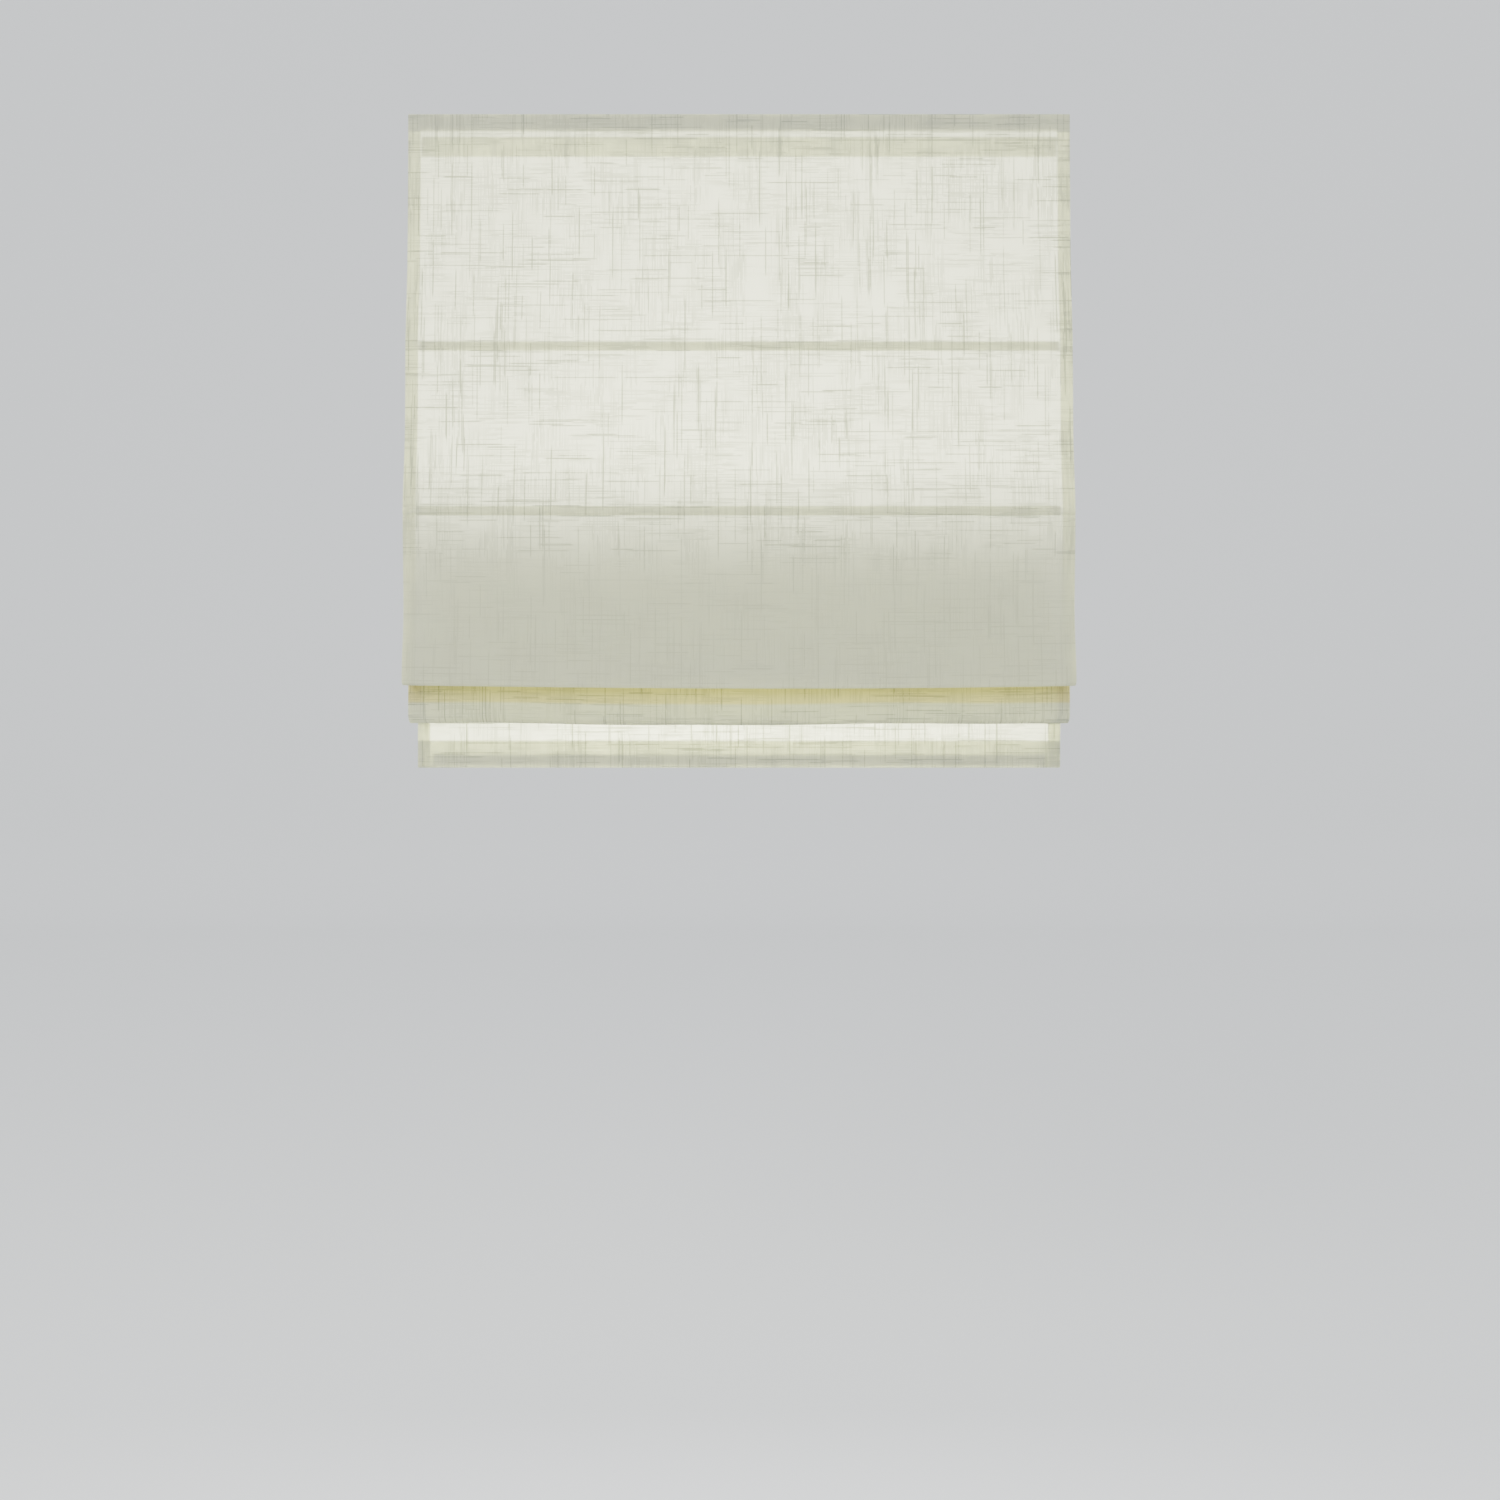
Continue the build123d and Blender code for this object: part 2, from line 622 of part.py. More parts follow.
with BuildPart() as cloth_rise_two:
    with BuildSketch(Plane.YZ):
        ring_front_y = ring_two_y - 2 * ring_fold_r
        ribbon([(fold_two_back_y, fold_two_top + cloth_gap), (fold_two_back_y + 1.5, fold_two_top + 20),
                (ring_front_y, ring_two_turn - 12), (ring_front_y, -(ring_two_drop + half)),
                (ring_two_y - ring_fold_r - cloth_gap, -(ring_two_drop + half))],
               [60, 30, ring_fold_r - cloth_gap - 0.01])
    extrude(amount=blind_width / 2, both=True)
save(cloth_rise_two.part, "cloth_rise_two")

# The lowest length ends in a hem: front layer, turn, back layer stitched up to the front one.
hem_gap = bar_thickness + 2 * bar_cap_wall + 0.4
hem_turn_r = (hem_gap + sheet) / 2
hem_middle_y = ring_two_y + hem_turn_r
hem_back_y = ring_two_y + 2 * hem_turn_r
hem_turn = -(bottom_drop - half - hem_turn_r)
hem_top = -(bottom_drop - bottom_hem)
hem_slope_low = hem_turn + bar_height + 1.5
with BuildPart() as cloth_bottom:
    with BuildSketch(Plane.YZ):
        ribbon([(ring_two_y - ring_fold_r, -(ring_two_drop + half)),
                (ring_two_y, -(ring_two_drop + half)),
                (ring_two_y, -(bottom_drop - half)), (hem_back_y, -(bottom_drop - half)),
                (hem_back_y, hem_slope_low)],
               [ring_fold_r - 0.01, hem_turn_r - 0.01, hem_turn_r - 0.01])
        ribbon([(hem_back_y, hem_slope_low - sheet), (hem_back_y, hem_slope_low),
                (ring_two_y + 0.8 * sheet, hem_top - 4), (ring_two_y + 0.8 * sheet, hem_top)],
               [2, 2])
    extrude(amount=blind_width / 2, both=True)
save(cloth_bottom.part, "cloth_bottom")

# ---- Bottom bar with a cap on each end, inside the hem ----
bar_length = blind_width - 2 * bar_inset
bar_middle = hem_turn + bar_height / 2
with BuildPart() as bottom_bar:
    with BuildSketch(Plane.YZ):
        with Locations((hem_middle_y, bar_middle)):
            RectangleRounded(bar_thickness, bar_height, 0.8)
    extrude(amount=bar_length / 2, both=True)
save(bottom_bar.part, "bottom_bar")

with BuildPart() as bar_caps:
    for sign in sides.values():
        cap_outer = sign * (bar_length / 2 + bar_cap_wall)
        with BuildSketch(Plane.YZ.offset(cap_outer)):
            with Locations((hem_middle_y, bar_middle)):
                RectangleRounded(bar_thickness + 2 * bar_cap_wall,
                                 bar_height + 2 * bar_cap_wall, 1.2)
        extrude(amount=-sign * bar_cap_length)
        with BuildSketch(Plane.YZ.offset(sign * bar_length / 2)):
            with Locations((hem_middle_y, bar_middle)):
                RectangleRounded(bar_thickness, bar_height, 0.8)
        extrude(amount=-sign * bar_cap_length, mode=Mode.SUBTRACT)
save(bar_caps.part, "bar_caps")

# ---- Cord rings with a sewing lug, and the stops that hold the cords under the lower rings ----
ring_levels = {
    "upper_rings": (ring_one_turn, ring_one_y + half),
    "lower_rings": (ring_two_turn - 2, ring_two_y + half),
}
for name, (z, lug_start) in ring_levels.items():
    with BuildPart() as rings:
        for sign in sides.values():
            with Locations((sign * cord_x, cord_y, z)):
                Torus(ring_r, ring_wire)
            lug_length = cord_y - ring_r - lug_start
            with Locations((sign * cord_x, lug_start + lug_length / 2, z)):
                Box(5, lug_length, 1)
    save(rings.part, name)

stop_high = ring_two_turn - 2 - ring_wire
with BuildPart() as cord_stops:
    for sign in sides.values():
        with BuildSketch(Plane.XZ.offset(-cord_y)):
            with BuildLine():
                Polyline((sign * cord_x + cord_r + 0.3, stop_high),
                         (sign * cord_x + stop_r, stop_high),
                         (sign * cord_x + stop_r, stop_high - 3),
                         (sign * cord_x + stop_r - 1.6, stop_high - stop_length),
                         (sign * cord_x + cord_r + 0.3, stop_high - stop_length), close=True)
            make_face()
        revolve(axis=Axis((sign * cord_x, cord_y, 0), (0, 0, 1)))
save(cord_stops.part, "cord_stops")
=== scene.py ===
"""Cordless roman blind, part raised: the cloth, its battens' sleeves and hems, the lift cords, the
finishes of the headrail and its spring motor, and the studio. Metres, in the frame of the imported
model: X across the blind, -Y towards the room, +Z up, the origin on the window head.
"""

import json
import math

import bmesh
import bpy
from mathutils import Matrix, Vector

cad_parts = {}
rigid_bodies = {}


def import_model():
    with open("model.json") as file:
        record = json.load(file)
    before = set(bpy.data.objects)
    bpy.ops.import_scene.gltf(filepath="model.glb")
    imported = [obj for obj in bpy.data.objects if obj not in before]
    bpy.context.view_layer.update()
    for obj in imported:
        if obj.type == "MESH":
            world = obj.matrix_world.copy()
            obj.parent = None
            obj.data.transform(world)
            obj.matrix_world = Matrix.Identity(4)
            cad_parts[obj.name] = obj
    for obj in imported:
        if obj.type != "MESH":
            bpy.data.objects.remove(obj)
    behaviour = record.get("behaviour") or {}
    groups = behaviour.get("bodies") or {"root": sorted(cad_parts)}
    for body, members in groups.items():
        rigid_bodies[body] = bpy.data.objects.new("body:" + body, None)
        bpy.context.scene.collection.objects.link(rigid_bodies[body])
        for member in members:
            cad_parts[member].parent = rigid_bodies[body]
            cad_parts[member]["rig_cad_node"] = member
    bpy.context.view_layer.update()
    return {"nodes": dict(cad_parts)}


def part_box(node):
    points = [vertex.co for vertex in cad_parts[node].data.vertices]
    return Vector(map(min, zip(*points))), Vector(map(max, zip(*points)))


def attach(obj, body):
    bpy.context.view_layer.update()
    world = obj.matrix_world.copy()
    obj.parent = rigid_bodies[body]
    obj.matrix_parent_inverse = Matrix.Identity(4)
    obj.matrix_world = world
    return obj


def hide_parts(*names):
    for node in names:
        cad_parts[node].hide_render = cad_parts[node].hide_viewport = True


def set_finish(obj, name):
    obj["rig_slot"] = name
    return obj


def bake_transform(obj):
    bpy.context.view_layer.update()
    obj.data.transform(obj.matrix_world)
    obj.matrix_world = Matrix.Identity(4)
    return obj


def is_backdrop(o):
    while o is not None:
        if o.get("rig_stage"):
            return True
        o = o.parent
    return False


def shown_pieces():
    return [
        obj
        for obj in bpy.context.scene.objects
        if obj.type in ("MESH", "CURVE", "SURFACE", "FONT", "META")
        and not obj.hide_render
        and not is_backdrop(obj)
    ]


bl_info = {
    "name": "Roman blind",
    "version": (1, 0, 0),
    "blender": (4, 5, 0),
    "location": "3D View > Sidebar > Roman blind",
    "description": "Builds the cloth, cords and finishes of a battened roman blind",
    "category": "Object",
}

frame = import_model()

MM = 0.001
LOW, HIGH = 0, 1


def low(node):
    """The lowest corner of a CAD node at rest."""
    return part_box(node)[LOW]


def high(node):
    """The highest corner of a CAD node at rest."""
    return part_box(node)[HIGH]


# ---- Sizes of the cloth's make-up ----
SHEET_CAD = 1.0 * MM        # the CAD cloth's thickness
TOP_BAND = 51.5 * MM        # from the cloth's top to the foot of its top hem
TOP_TURN_BACK = 24 * MM     # length of the cloth turned back over the rail's top
FACING_HEIGHT = 24 * MM     # the top hem's facing, above that foot
SEAM_STITCH_DROP = 4 * MM   # a seam's stitching, below its batten
BATTEN_PLAY = 0.3 * MM      # between a batten and the middle of the sheet
SLEEVE_PLAY = 0.35 * MM     # between a batten and the middle of its sleeve
LENGTH_GAP = 0.3 * MM       # between two of the cloth's CAD lengths
FOLD_TWO_DEPTH = 22 * MM
RING_TURN_R = 2.5 * MM      # how tightly the cloth turns over a ring line
SECOND_SHEET_START = 0.75   # cloth length at which the second sheet's UV map starts
BOTTOM_SHEET_START = SECOND_SHEET_START + 0.5
CALM_REACH = 20 * MM        # below seam two, where the front fold's slubs begin to fade

# ---- Sizes read from the frame ----
HALF_WIDTH = high("cloth_front")[0]
TOP = high("cloth_front")[2]
HEAD_Y = low("loop_tape")[1] - 1.5 * SHEET_CAD
TOP_HEM_Z = TOP - TOP_BAND
SEAM_ONE_Z = low("batten_1")[2] - SEAM_STITCH_DROP
SEAM_TWO_Z = low("batten_2")[2] - SEAM_STITCH_DROP
SEAM_ONE_Y = low("batten_1")[1] - BATTEN_PLAY
SEAM_TWO_Y = low("batten_2")[1] - BATTEN_PLAY
FOLD_ONE_FRONT = low("cloth_drop")[1] + SHEET_CAD / 2
FOLD_ONE_BACK = high("cloth_fold_one")[1] - SHEET_CAD / 2
FOLD_ONE_LOW = low("cloth_fold_one")[2] + SHEET_CAD / 2
FOLD_ONE_TOP = high("cloth_fold_one")[2]
RING_ONE_Y = high("batten_4")[1] + SHEET_CAD
RING_ONE_Z = high("cloth_fold_two")[2] - SHEET_CAD / 2
FOLD_TWO_FRONT = low("cloth_fold_two")[1] + SHEET_CAD / 2
FOLD_TWO_LOW = low("cloth_fold_two")[2] + SHEET_CAD / 2
FOLD_TWO_BACK = FOLD_TWO_FRONT + FOLD_TWO_DEPTH
FOLD_TWO_TOP = low("cloth_rise_two")[2] - LENGTH_GAP
RING_TWO_Y = high("batten_6")[1] + SHEET_CAD
RING_TWO_Z = high("cloth_rise_two")[2] - SHEET_CAD / 2
BOTTOM_Z = low("cloth_bottom")[2] + SHEET_CAD / 2
HEM_BACK_Y = high("cloth_bottom")[1] - SHEET_CAD / 2
BAR_TOP = high("bottom_bar")[2]
SEAM_TWO_LENGTH = TOP_TURN_BACK + TOP - SEAM_TWO_Z + CALM_REACH
CORD_R = 0.6 * MM
CORD_X = high("lift_cord_right")[0] - CORD_R
CORD_Y = high("lift_cord_right")[1] - CORD_R
CORD_LEVEL = high("lift_cord_right")[2] - CORD_R
CORD_END = low("lift_cord_right")[2]


def length_property(name, description, default, precision=4):
    return bpy.props.FloatProperty(name=name, description=description, default=default,
                                   unit="LENGTH", precision=precision)


def colour_property(name, description, default):
    return bpy.props.FloatVectorProperty(name=name, description=description, default=default,
                                         size=3, subtype="COLOR", min=0, max=1)


class BlindSheetSettings(bpy.types.PropertyGroup):
    """Sizes of the cloth."""

    thickness: length_property("Cloth thickness", "How thick the woven cloth is", 0.45 * MM, 5)
    side_hem: length_property("Side hem", "How wide the cloth is turned back at each side", 15 * MM)
    bottom_hem: length_property("Bottom hem", "How deep the hem that holds the bar is", 33 * MM)
    rows: length_property("Row spacing", "Distance between the rows of the cloth's mesh", 7 * MM)
    columns: bpy.props.IntProperty(
        name="Columns", description="Faces across the cloth between its side hems", default=64)
    bow: length_property("Fold bow", "How far the middle of a fold hangs below its ends", 5.0 * MM)
    flare: length_property(
        "Corner flare", "How far the lower corners of the front fold stand out", 2.6 * MM)
    ripple: length_property("Ripple", "Height of the slow waves across the cloth", 0.9 * MM, 5)


class BlindColourSettings(bpy.types.PropertyGroup):
    """Colours of the finishes."""

    cloth: colour_property("Cloth", "Colour of the cloth between its slubs", (0.840, 0.862, 0.715))
    slub: colour_property("Slubs", "Colour of the thick places in the yarn", (0.400, 0.420, 0.270))
    glow: colour_property(
        "Light through cloth", "Colour of light that has passed through the cloth",
        (0.945, 0.950, 0.765))
    # Painted shade: a tint for the shade just under the front fold, not a colour of the cloth
    # itself.
    painted_shade: colour_property("Shaded cloth", "Colour of the cloth just under the front fold",
                           (1.0, 0.945, 0.640))
    rail: colour_property("Rail", "Colour of the painted headrail and bottom bar",
                          (0.700, 0.700, 0.680))
    backdrop: colour_property("Studio", "Colour of the floor and backdrop", (0.880, 0.885, 0.880))


def sheet_sizes():
    return bpy.context.scene.blind_sheet


def colours():
    return bpy.context.scene.blind_colours


# ---- Shader node groups: effects shared by several finishes ----
def new_group(name, inputs, outputs):
    """An empty shader node group with float or colour sockets, and its two end nodes."""
    group = bpy.data.node_groups.new(name, "ShaderNodeTree")
    kinds = {"float": "NodeSocketFloat", "colour": "NodeSocketColor", "vector": "NodeSocketVector"}
    for label, kind, value in inputs:
        socket = group.interface.new_socket(label, in_out="INPUT", socket_type=kinds[kind])
        if value is not None:
            socket.default_value = value
    for label, kind in outputs:
        group.interface.new_socket(label, in_out="OUTPUT", socket_type=kinds[kind])
    return group, group.nodes.new("NodeGroupInput"), group.nodes.new("NodeGroupOutput")


def fill(tree, node, values):
    """Sets a node's inputs, each from a number, vector or colour, or by a link from a socket."""
    for label, value in values.items():
        if isinstance(value, bpy.types.NodeSocket):
            tree.links.new(value, node.inputs[label])
        else:
            node.inputs[label].default_value = value
    return node


def maths(tree, operation, a, b=None, c=None, clamp=False):
    """A Math node's output, each operand a socket or a number."""
    node = tree.nodes.new("ShaderNodeMath")
    node.operation = operation
    node.use_clamp = clamp
    operands = {place: value for place, value in enumerate((a, b, c)) if value is not None}
    return fill(tree, node, operands).outputs[0]


def noise_of(tree, vector, scale, detail=2.0):
    """A Noise Texture's value on a vector socket."""
    node = tree.nodes.new("ShaderNodeTexNoise")
    return fill(tree, node, {"Vector": vector, "Scale": scale, "Detail": detail}).outputs["Fac"]


def around_zero(tree, noise, amount):
    """A noise value, moved to lie round 0 and scaled."""
    return maths(tree, "MULTIPLY", maths(tree, "SUBTRACT", noise, 0.5), amount)


def rgba(colour):
    return (*tuple(colour)[:3], 1.0)


def blended(tree, mask, first, second, blend="MIX"):
    """Two colours or sockets, mixed by a mask socket or number."""
    node = tree.nodes.new("ShaderNodeMix")
    node.data_type = "RGBA"
    node.blend_type = blend
    first, second = (value if isinstance(value, bpy.types.NodeSocket) else rgba(value)
                     for value in (first, second))
    return fill(tree, node, {0: mask, 6: first, 7: second}).outputs[2]


def joined(tree, x, y, z=0.0):
    """A vector from three sockets or numbers."""
    return fill(tree, tree.nodes.new("ShaderNodeCombineXYZ"), {0: x, 1: y, 2: z}).outputs[0]


def parted(tree, vector):
    """The X and Y sockets of a vector socket."""
    node = fill(tree, tree.nodes.new("ShaderNodeSeparateXYZ"), {0: vector})
    return node.outputs[0], node.outputs[1]


def grouped(tree, group, values):
    """A group node in a tree, with its inputs filled."""
    node = tree.nodes.new("ShaderNodeGroup")
    node.node_tree = group
    return fill(tree, node, values)


def uv_socket(tree):
    node = tree.nodes.new("ShaderNodeUVMap")
    node.uv_map = "UVMap"
    return node.outputs[0]


def yarn_group():
    """Thick places along one set of yarns: each yarn is cut into lengths, and a share of them show.

    Across runs over the yarns and Along runs with them, both in metres.
    """
    group, given, out = new_group(
        "Yarn slubs",
        [("Across", "float", 0), ("Along", "float", 0), ("Yarn width", "float", 0.0015),
         ("Slub length", "float", 0.06), ("Share", "float", 0.2), ("Seed", "float", 0)],
        [("Mask", "float")])
    sockets = given.outputs
    at = maths(group, "DIVIDE", sockets["Across"], sockets["Yarn width"])
    yarn = maths(group, "FLOOR", at)
    within = maths(group, "FRACT", at)

    def chance(first, second):
        """A number from 0 to 1, drawn for a pair of whole numbers."""
        white = group.nodes.new("ShaderNodeTexWhiteNoise")
        white.noise_dimensions = "3D"
        group.links.new(joined(group, first, second, sockets["Seed"]), white.inputs["Vector"])
        return white.outputs["Value"]

    offset_draw, stretch_draw = 0.37, 0.71
    most_offset, least_stretch, stretch_range = 7.0, 0.5, 1.2
    paler, end_sharpness = -0.65, 3.0
    offset = maths(group, "MULTIPLY", chance(yarn, offset_draw), most_offset)
    stretch = maths(group, "MULTIPLY_ADD", chance(yarn, stretch_draw), stretch_range, least_stretch)
    length = maths(group, "MULTIPLY", sockets["Slub length"], stretch)
    place = maths(group, "ADD", maths(group, "DIVIDE", sockets["Along"], length), offset)
    piece = maths(group, "FLOOR", place)
    along = maths(group, "FRACT", place)
    drawn = chance(yarn, piece)
    shown = maths(group, "LESS_THAN", drawn, sockets["Share"])
    depth = maths(group, "DIVIDE", drawn, sockets["Share"])
    depth = maths(group, "MULTIPLY_ADD", depth, paler, 1.0)
    round_off = maths(group, "SINE", maths(group, "MULTIPLY", within, math.pi))
    taper = maths(group, "SINE", maths(group, "MULTIPLY", along, math.pi))
    ends = maths(group, "MULTIPLY", taper, end_sharpness, clamp=True)
    mask = maths(group, "MULTIPLY", maths(group, "MULTIPLY", shown, depth),
                 maths(group, "MULTIPLY", round_off, ends))
    group.links.new(mask, out.inputs["Mask"])
    return group


def slub_cloth_group(yarns):
    """Linen-look cloth on a UV map in metres: slubs both ways, fine threads, and soft patches."""
    group, given, out = new_group(
        "Slub cloth",
        [("UV", "vector", None), ("Cloth", "colour", (0.8, 0.8, 0.74, 1)),
         ("Slub", "colour", (0.5, 0.51, 0.39, 1)), ("Contrast", "float", 1.0),
         ("Surface share", "float", 0.2)],
        [("Colour", "colour"), ("Height", "float"), ("Mask", "float")])
    across, along = parted(group, given.outputs["UV"])

    def yarn_set(first, second, width, length, share, seed):
        values = {"Across": first, "Along": second, "Yarn width": width, "Slub length": length,
                  "Share": share, "Seed": seed}
        return grouped(group, yarns, values).outputs["Mask"]

    def clusters(first, second, first_scale, second_scale, shift):
        """Patches where one set of yarns is thicker: noise stretched along the yarns."""
        place = joined(group, maths(group, "MULTIPLY_ADD", first, first_scale, shift),
                       maths(group, "MULTIPLY", second, second_scale))
        sharpness, threshold = 5.0, -1.85
        return maths(group, "MULTIPLY_ADD", noise_of(group, place, 1.0, 1.0), sharpness, threshold,
                     clamp=True)

    fine_weight, strong_weight = 0.62, 0.85
    patch_scale, patch_amount, least_warmth, warm_cloth = 26.0, 0.70, 0.22, (0.80, 0.775, 0.66)
    thread_scale, thread_shade, thread_height = 2600.0, 0.16, 0.35
    warp_slubs = yarn_set(across, along, 1.8 * MM, 62 * MM, 0.11, 3.0)
    weft_slubs = yarn_set(along, across, 1.7 * MM, 58 * MM, 0.10, 11.0)
    warp_fine = yarn_set(across, along, 1.5 * MM, 40 * MM, 0.62, 23.0)
    weft_fine = yarn_set(along, across, 1.5 * MM, 38 * MM, 0.55, 37.0)
    strong = maths(group, "MAXIMUM", warp_slubs, weft_slubs)
    warp_thick = clusters(across, along, 30.0, 14.0, 1.7)
    weft_thick = clusters(along, across, 30.0, 16.0, 8.3)
    fine = maths(group, "MAXIMUM", maths(group, "MULTIPLY", warp_fine, warp_thick),
                 maths(group, "MULTIPLY", weft_fine, weft_thick))
    mask = maths(group, "MULTIPLY_ADD", fine, fine_weight,
                 maths(group, "MULTIPLY", strong, strong_weight), clamp=True)
    mask = maths(group, "MULTIPLY", mask, given.outputs["Contrast"], clamp=True)
    patches = noise_of(group, given.outputs["UV"], patch_scale, 1.0)
    warmth = around_zero(group, patches, patch_amount)
    warmth = maths(group, "ADD", warmth, least_warmth, clamp=True)
    tinted = blended(group, warmth, given.outputs["Cloth"], warm_cloth)
    threads = noise_of(group, given.outputs["UV"], thread_scale, 1.0)
    mask_all = maths(group, "ADD", mask, around_zero(group, threads, thread_shade), clamp=True)
    on_top = maths(group, "MULTIPLY", mask_all, given.outputs["Surface share"])
    fill(group, out, {"Colour": blended(group, on_top, tinted, given.outputs["Slub"]),
                      "Height": maths(group, "MULTIPLY", threads, thread_height), "Mask": mask_all})
    return group


def handling_group():
    """Slight unevenness of a moulded, painted or drawn surface: a tone shift and fine grain."""
    broad_scale, grain_tone, least_tone, worn = 35.0, 0.10, 0.12, (0.30, 0.29, 0.27)
    rough_range, rough_shift = 0.14, -0.05
    group, given, out = new_group(
        "Surface unevenness",
        [("Vector", "vector", None), ("Colour", "colour", (0.8, 0.8, 0.8, 1)),
         ("Roughness", "float", 0.45), ("Grain scale", "float", 900.0), ("Tone", "float", 0.08),
         ("Streak", "vector", (1, 1, 1))],
        [("Colour", "colour"), ("Roughness", "float"), ("Height", "float")])
    stretch = group.nodes.new("ShaderNodeVectorMath")
    stretch.operation = "MULTIPLY"
    fill(group, stretch, {0: given.outputs["Vector"], 1: given.outputs["Streak"]})
    grain = noise_of(group, stretch.outputs[0], given.outputs["Grain scale"], 3.0)
    broad = noise_of(group, given.outputs["Vector"], broad_scale, 2.0)
    tone = maths(group, "ADD", around_zero(group, broad, given.outputs["Tone"]),
                 around_zero(group, grain, grain_tone))
    tone = maths(group, "ADD", tone, least_tone, clamp=True)
    rough = maths(group, "MULTIPLY_ADD", grain, rough_range, given.outputs["Roughness"])
    fill(group, out, {"Colour": blended(group, tone, given.outputs["Colour"], worn),
                      "Roughness": maths(group, "ADD", rough, rough_shift, clamp=True),
                      "Height": grain})
    return group


# ---- Materials ----
def ramp(tree, value, start, end):
    """0 before start and 1 after end, smooth between; start may be the larger."""
    node = tree.nodes.new("ShaderNodeMapRange")
    node.interpolation_type = "SMOOTHSTEP"
    return fill(tree, node, {"From Min": start, "From Max": end, "Value": value}).outputs["Result"]


def blank_material(name):
    material = bpy.data.materials.new(name)
    material.use_nodes = True
    tree = material.node_tree
    shader = tree.nodes["Principled BSDF"]
    return material, tree, shader


def bump(tree, height, strength, distance):
    node = tree.nodes.new("ShaderNodeBump")
    values = {"Strength": strength, "Distance": distance, "Height": height}
    return fill(tree, node, values).outputs["Normal"]


def cloth_material(slubs, name="Linen cloth", through=0.66, painted_shade_at=None, calm_after=None):
    """Woven cloth that lets light through: a rough surface mixed with a Translucent shader.

    The stretch (start, end) of the cloth's length given for the shade gets painted shade, a warm
    tint for the shade under the front fold, and after the length calm_after its slubs show less;
    both are in metres.
    """
    soft_edge, sharp_edge, calm_amount = 60 * MM, 4 * MM, -0.6
    material, tree, shader = blank_material(name)
    uv = uv_socket(tree)
    along = parted(tree, uv)[1] if calm_after or painted_shade_at else None
    weave = grouped(tree, slubs, {"UV": uv, "Cloth": rgba(colours().cloth),
                                  "Slub": rgba(colours().slub)})
    if calm_after:
        calm = ramp(tree, along, calm_after, calm_after + soft_edge)
        fill(tree, weave, {"Contrast": maths(tree, "MULTIPLY_ADD", calm, calm_amount, 1.0)})
    colour = weave.outputs["Colour"]
    seen_through = blended(tree, weave.outputs["Mask"], colours().glow, colours().slub)
    # Painted shade: in the given stretch the cloth's colour and the light through it are multiplied
    # by the shade colour, for the shade under the front fold.
    if painted_shade_at:
        start, end = painted_shade_at
        inside = maths(tree, "MULTIPLY", ramp(tree, along, start - soft_edge, start),
                       ramp(tree, along, end, end - sharp_edge))
        colour = blended(tree, inside, colour, colours().painted_shade, "MULTIPLY")
        seen_through = blended(tree, inside, seen_through, colours().painted_shade, "MULTIPLY")
    fill(tree, shader, {
        "Base Color": colour, "Roughness": 0.88, "Specular IOR Level": 0.25, "Sheen Weight": 0.15,
        "Normal": bump(tree, weave.outputs["Height"], 0.25, 0.15 * MM)})
    let_through(tree, through, seen_through)
    return material


def let_through(tree, share, colour):
    """Mixes a Translucent shader of a colour or socket into a finish."""
    glow = fill(tree, tree.nodes.new("ShaderNodeBsdfTranslucent"), {"Color": colour})
    both = fill(tree, tree.nodes.new("ShaderNodeMixShader"), {
        0: share, 1: tree.nodes["Principled BSDF"].outputs[0], 2: glow.outputs[0]})
    fill(tree, tree.nodes["Material Output"], {"Surface": both.outputs[0]})


def surface_material(group, name, colour, roughness, metallic=0.0, grain=900.0, tone=0.08,
                     streak=(1, 1, 1), relief=0.05, coat=0.0, sheen=0.0):
    """A painted, moulded, metal or fabric finish from the shared unevenness group."""
    material, tree, shader = blank_material(name)
    place = tree.nodes.new("ShaderNodeTexCoord")
    uneven = grouped(tree, group, {
        "Vector": place.outputs["Object"], "Colour": rgba(colour), "Roughness": roughness,
        "Grain scale": grain, "Tone": tone, "Streak": streak}).outputs
    fill(tree, shader, {
        "Base Color": uneven["Colour"], "Roughness": uneven["Roughness"], "Metallic": metallic,
        "Coat Weight": coat, "Sheen Weight": sheen,
        "Normal": bump(tree, uneven["Height"], 0.2, relief * MM)})
    return material


# ---- The cloth's side view: rows of (y, z) points down the whole sheet ----
class SideView:
    """Points along the cloth in the YZ plane, with the length of cloth up to each one."""

    def __init__(self, y, z, length=0.0):
        self.points = [(y, z)]
        self.lengths = [length]

    def to(self, y, z, step=None):
        """A straight stretch to a point, in rows of the usual spacing."""
        y0, z0 = self.points[-1]
        length = math.hypot(y - y0, z - z0)
        count = max(1, math.ceil(length / (step or sheet_sizes().rows)))
        for i in range(1, count + 1):
            self.add(y0 + (y - y0) * i / count, z0 + (z - z0) * i / count)
        return self

    def turn(self, centre_y, centre_z, radius, start, end, steps=10):
        """A stretch round an arc, angles in degrees from +Y towards +Z."""
        for i in range(1, steps + 1):
            angle = math.radians(start + (end - start) * i / steps)
            self.add(centre_y + radius * math.cos(angle), centre_z + radius * math.sin(angle))
        return self

    def add(self, y, z):
        y0, z0 = self.points[-1]
        self.points.append((y, z))
        self.lengths.append(self.lengths[-1] + math.hypot(y - y0, z - z0))

    def follow(self, other):
        """Goes on along another side view, which starts where this one ends."""
        self.points += other.points[1:]
        self.lengths += other.lengths[1:]
        return self

    def relaxed(self, reach, keep_ends=2):
        """Rounds gentle corners: each point takes the mean depth of those within reach of it."""
        smooth = list(self.points)
        for i in range(keep_ends, len(self.points) - keep_ends):
            near = [y for (y, _), length in zip(self.points, self.lengths)
                    if abs(length - self.lengths[i]) <= reach]
            smooth[i] = (sum(near) / len(near), self.points[i][1])
        self.points = smooth
        return self


def smoothstep(t):
    t = min(1.0, max(0.0, t))
    return t * t * (3 - 2 * t)


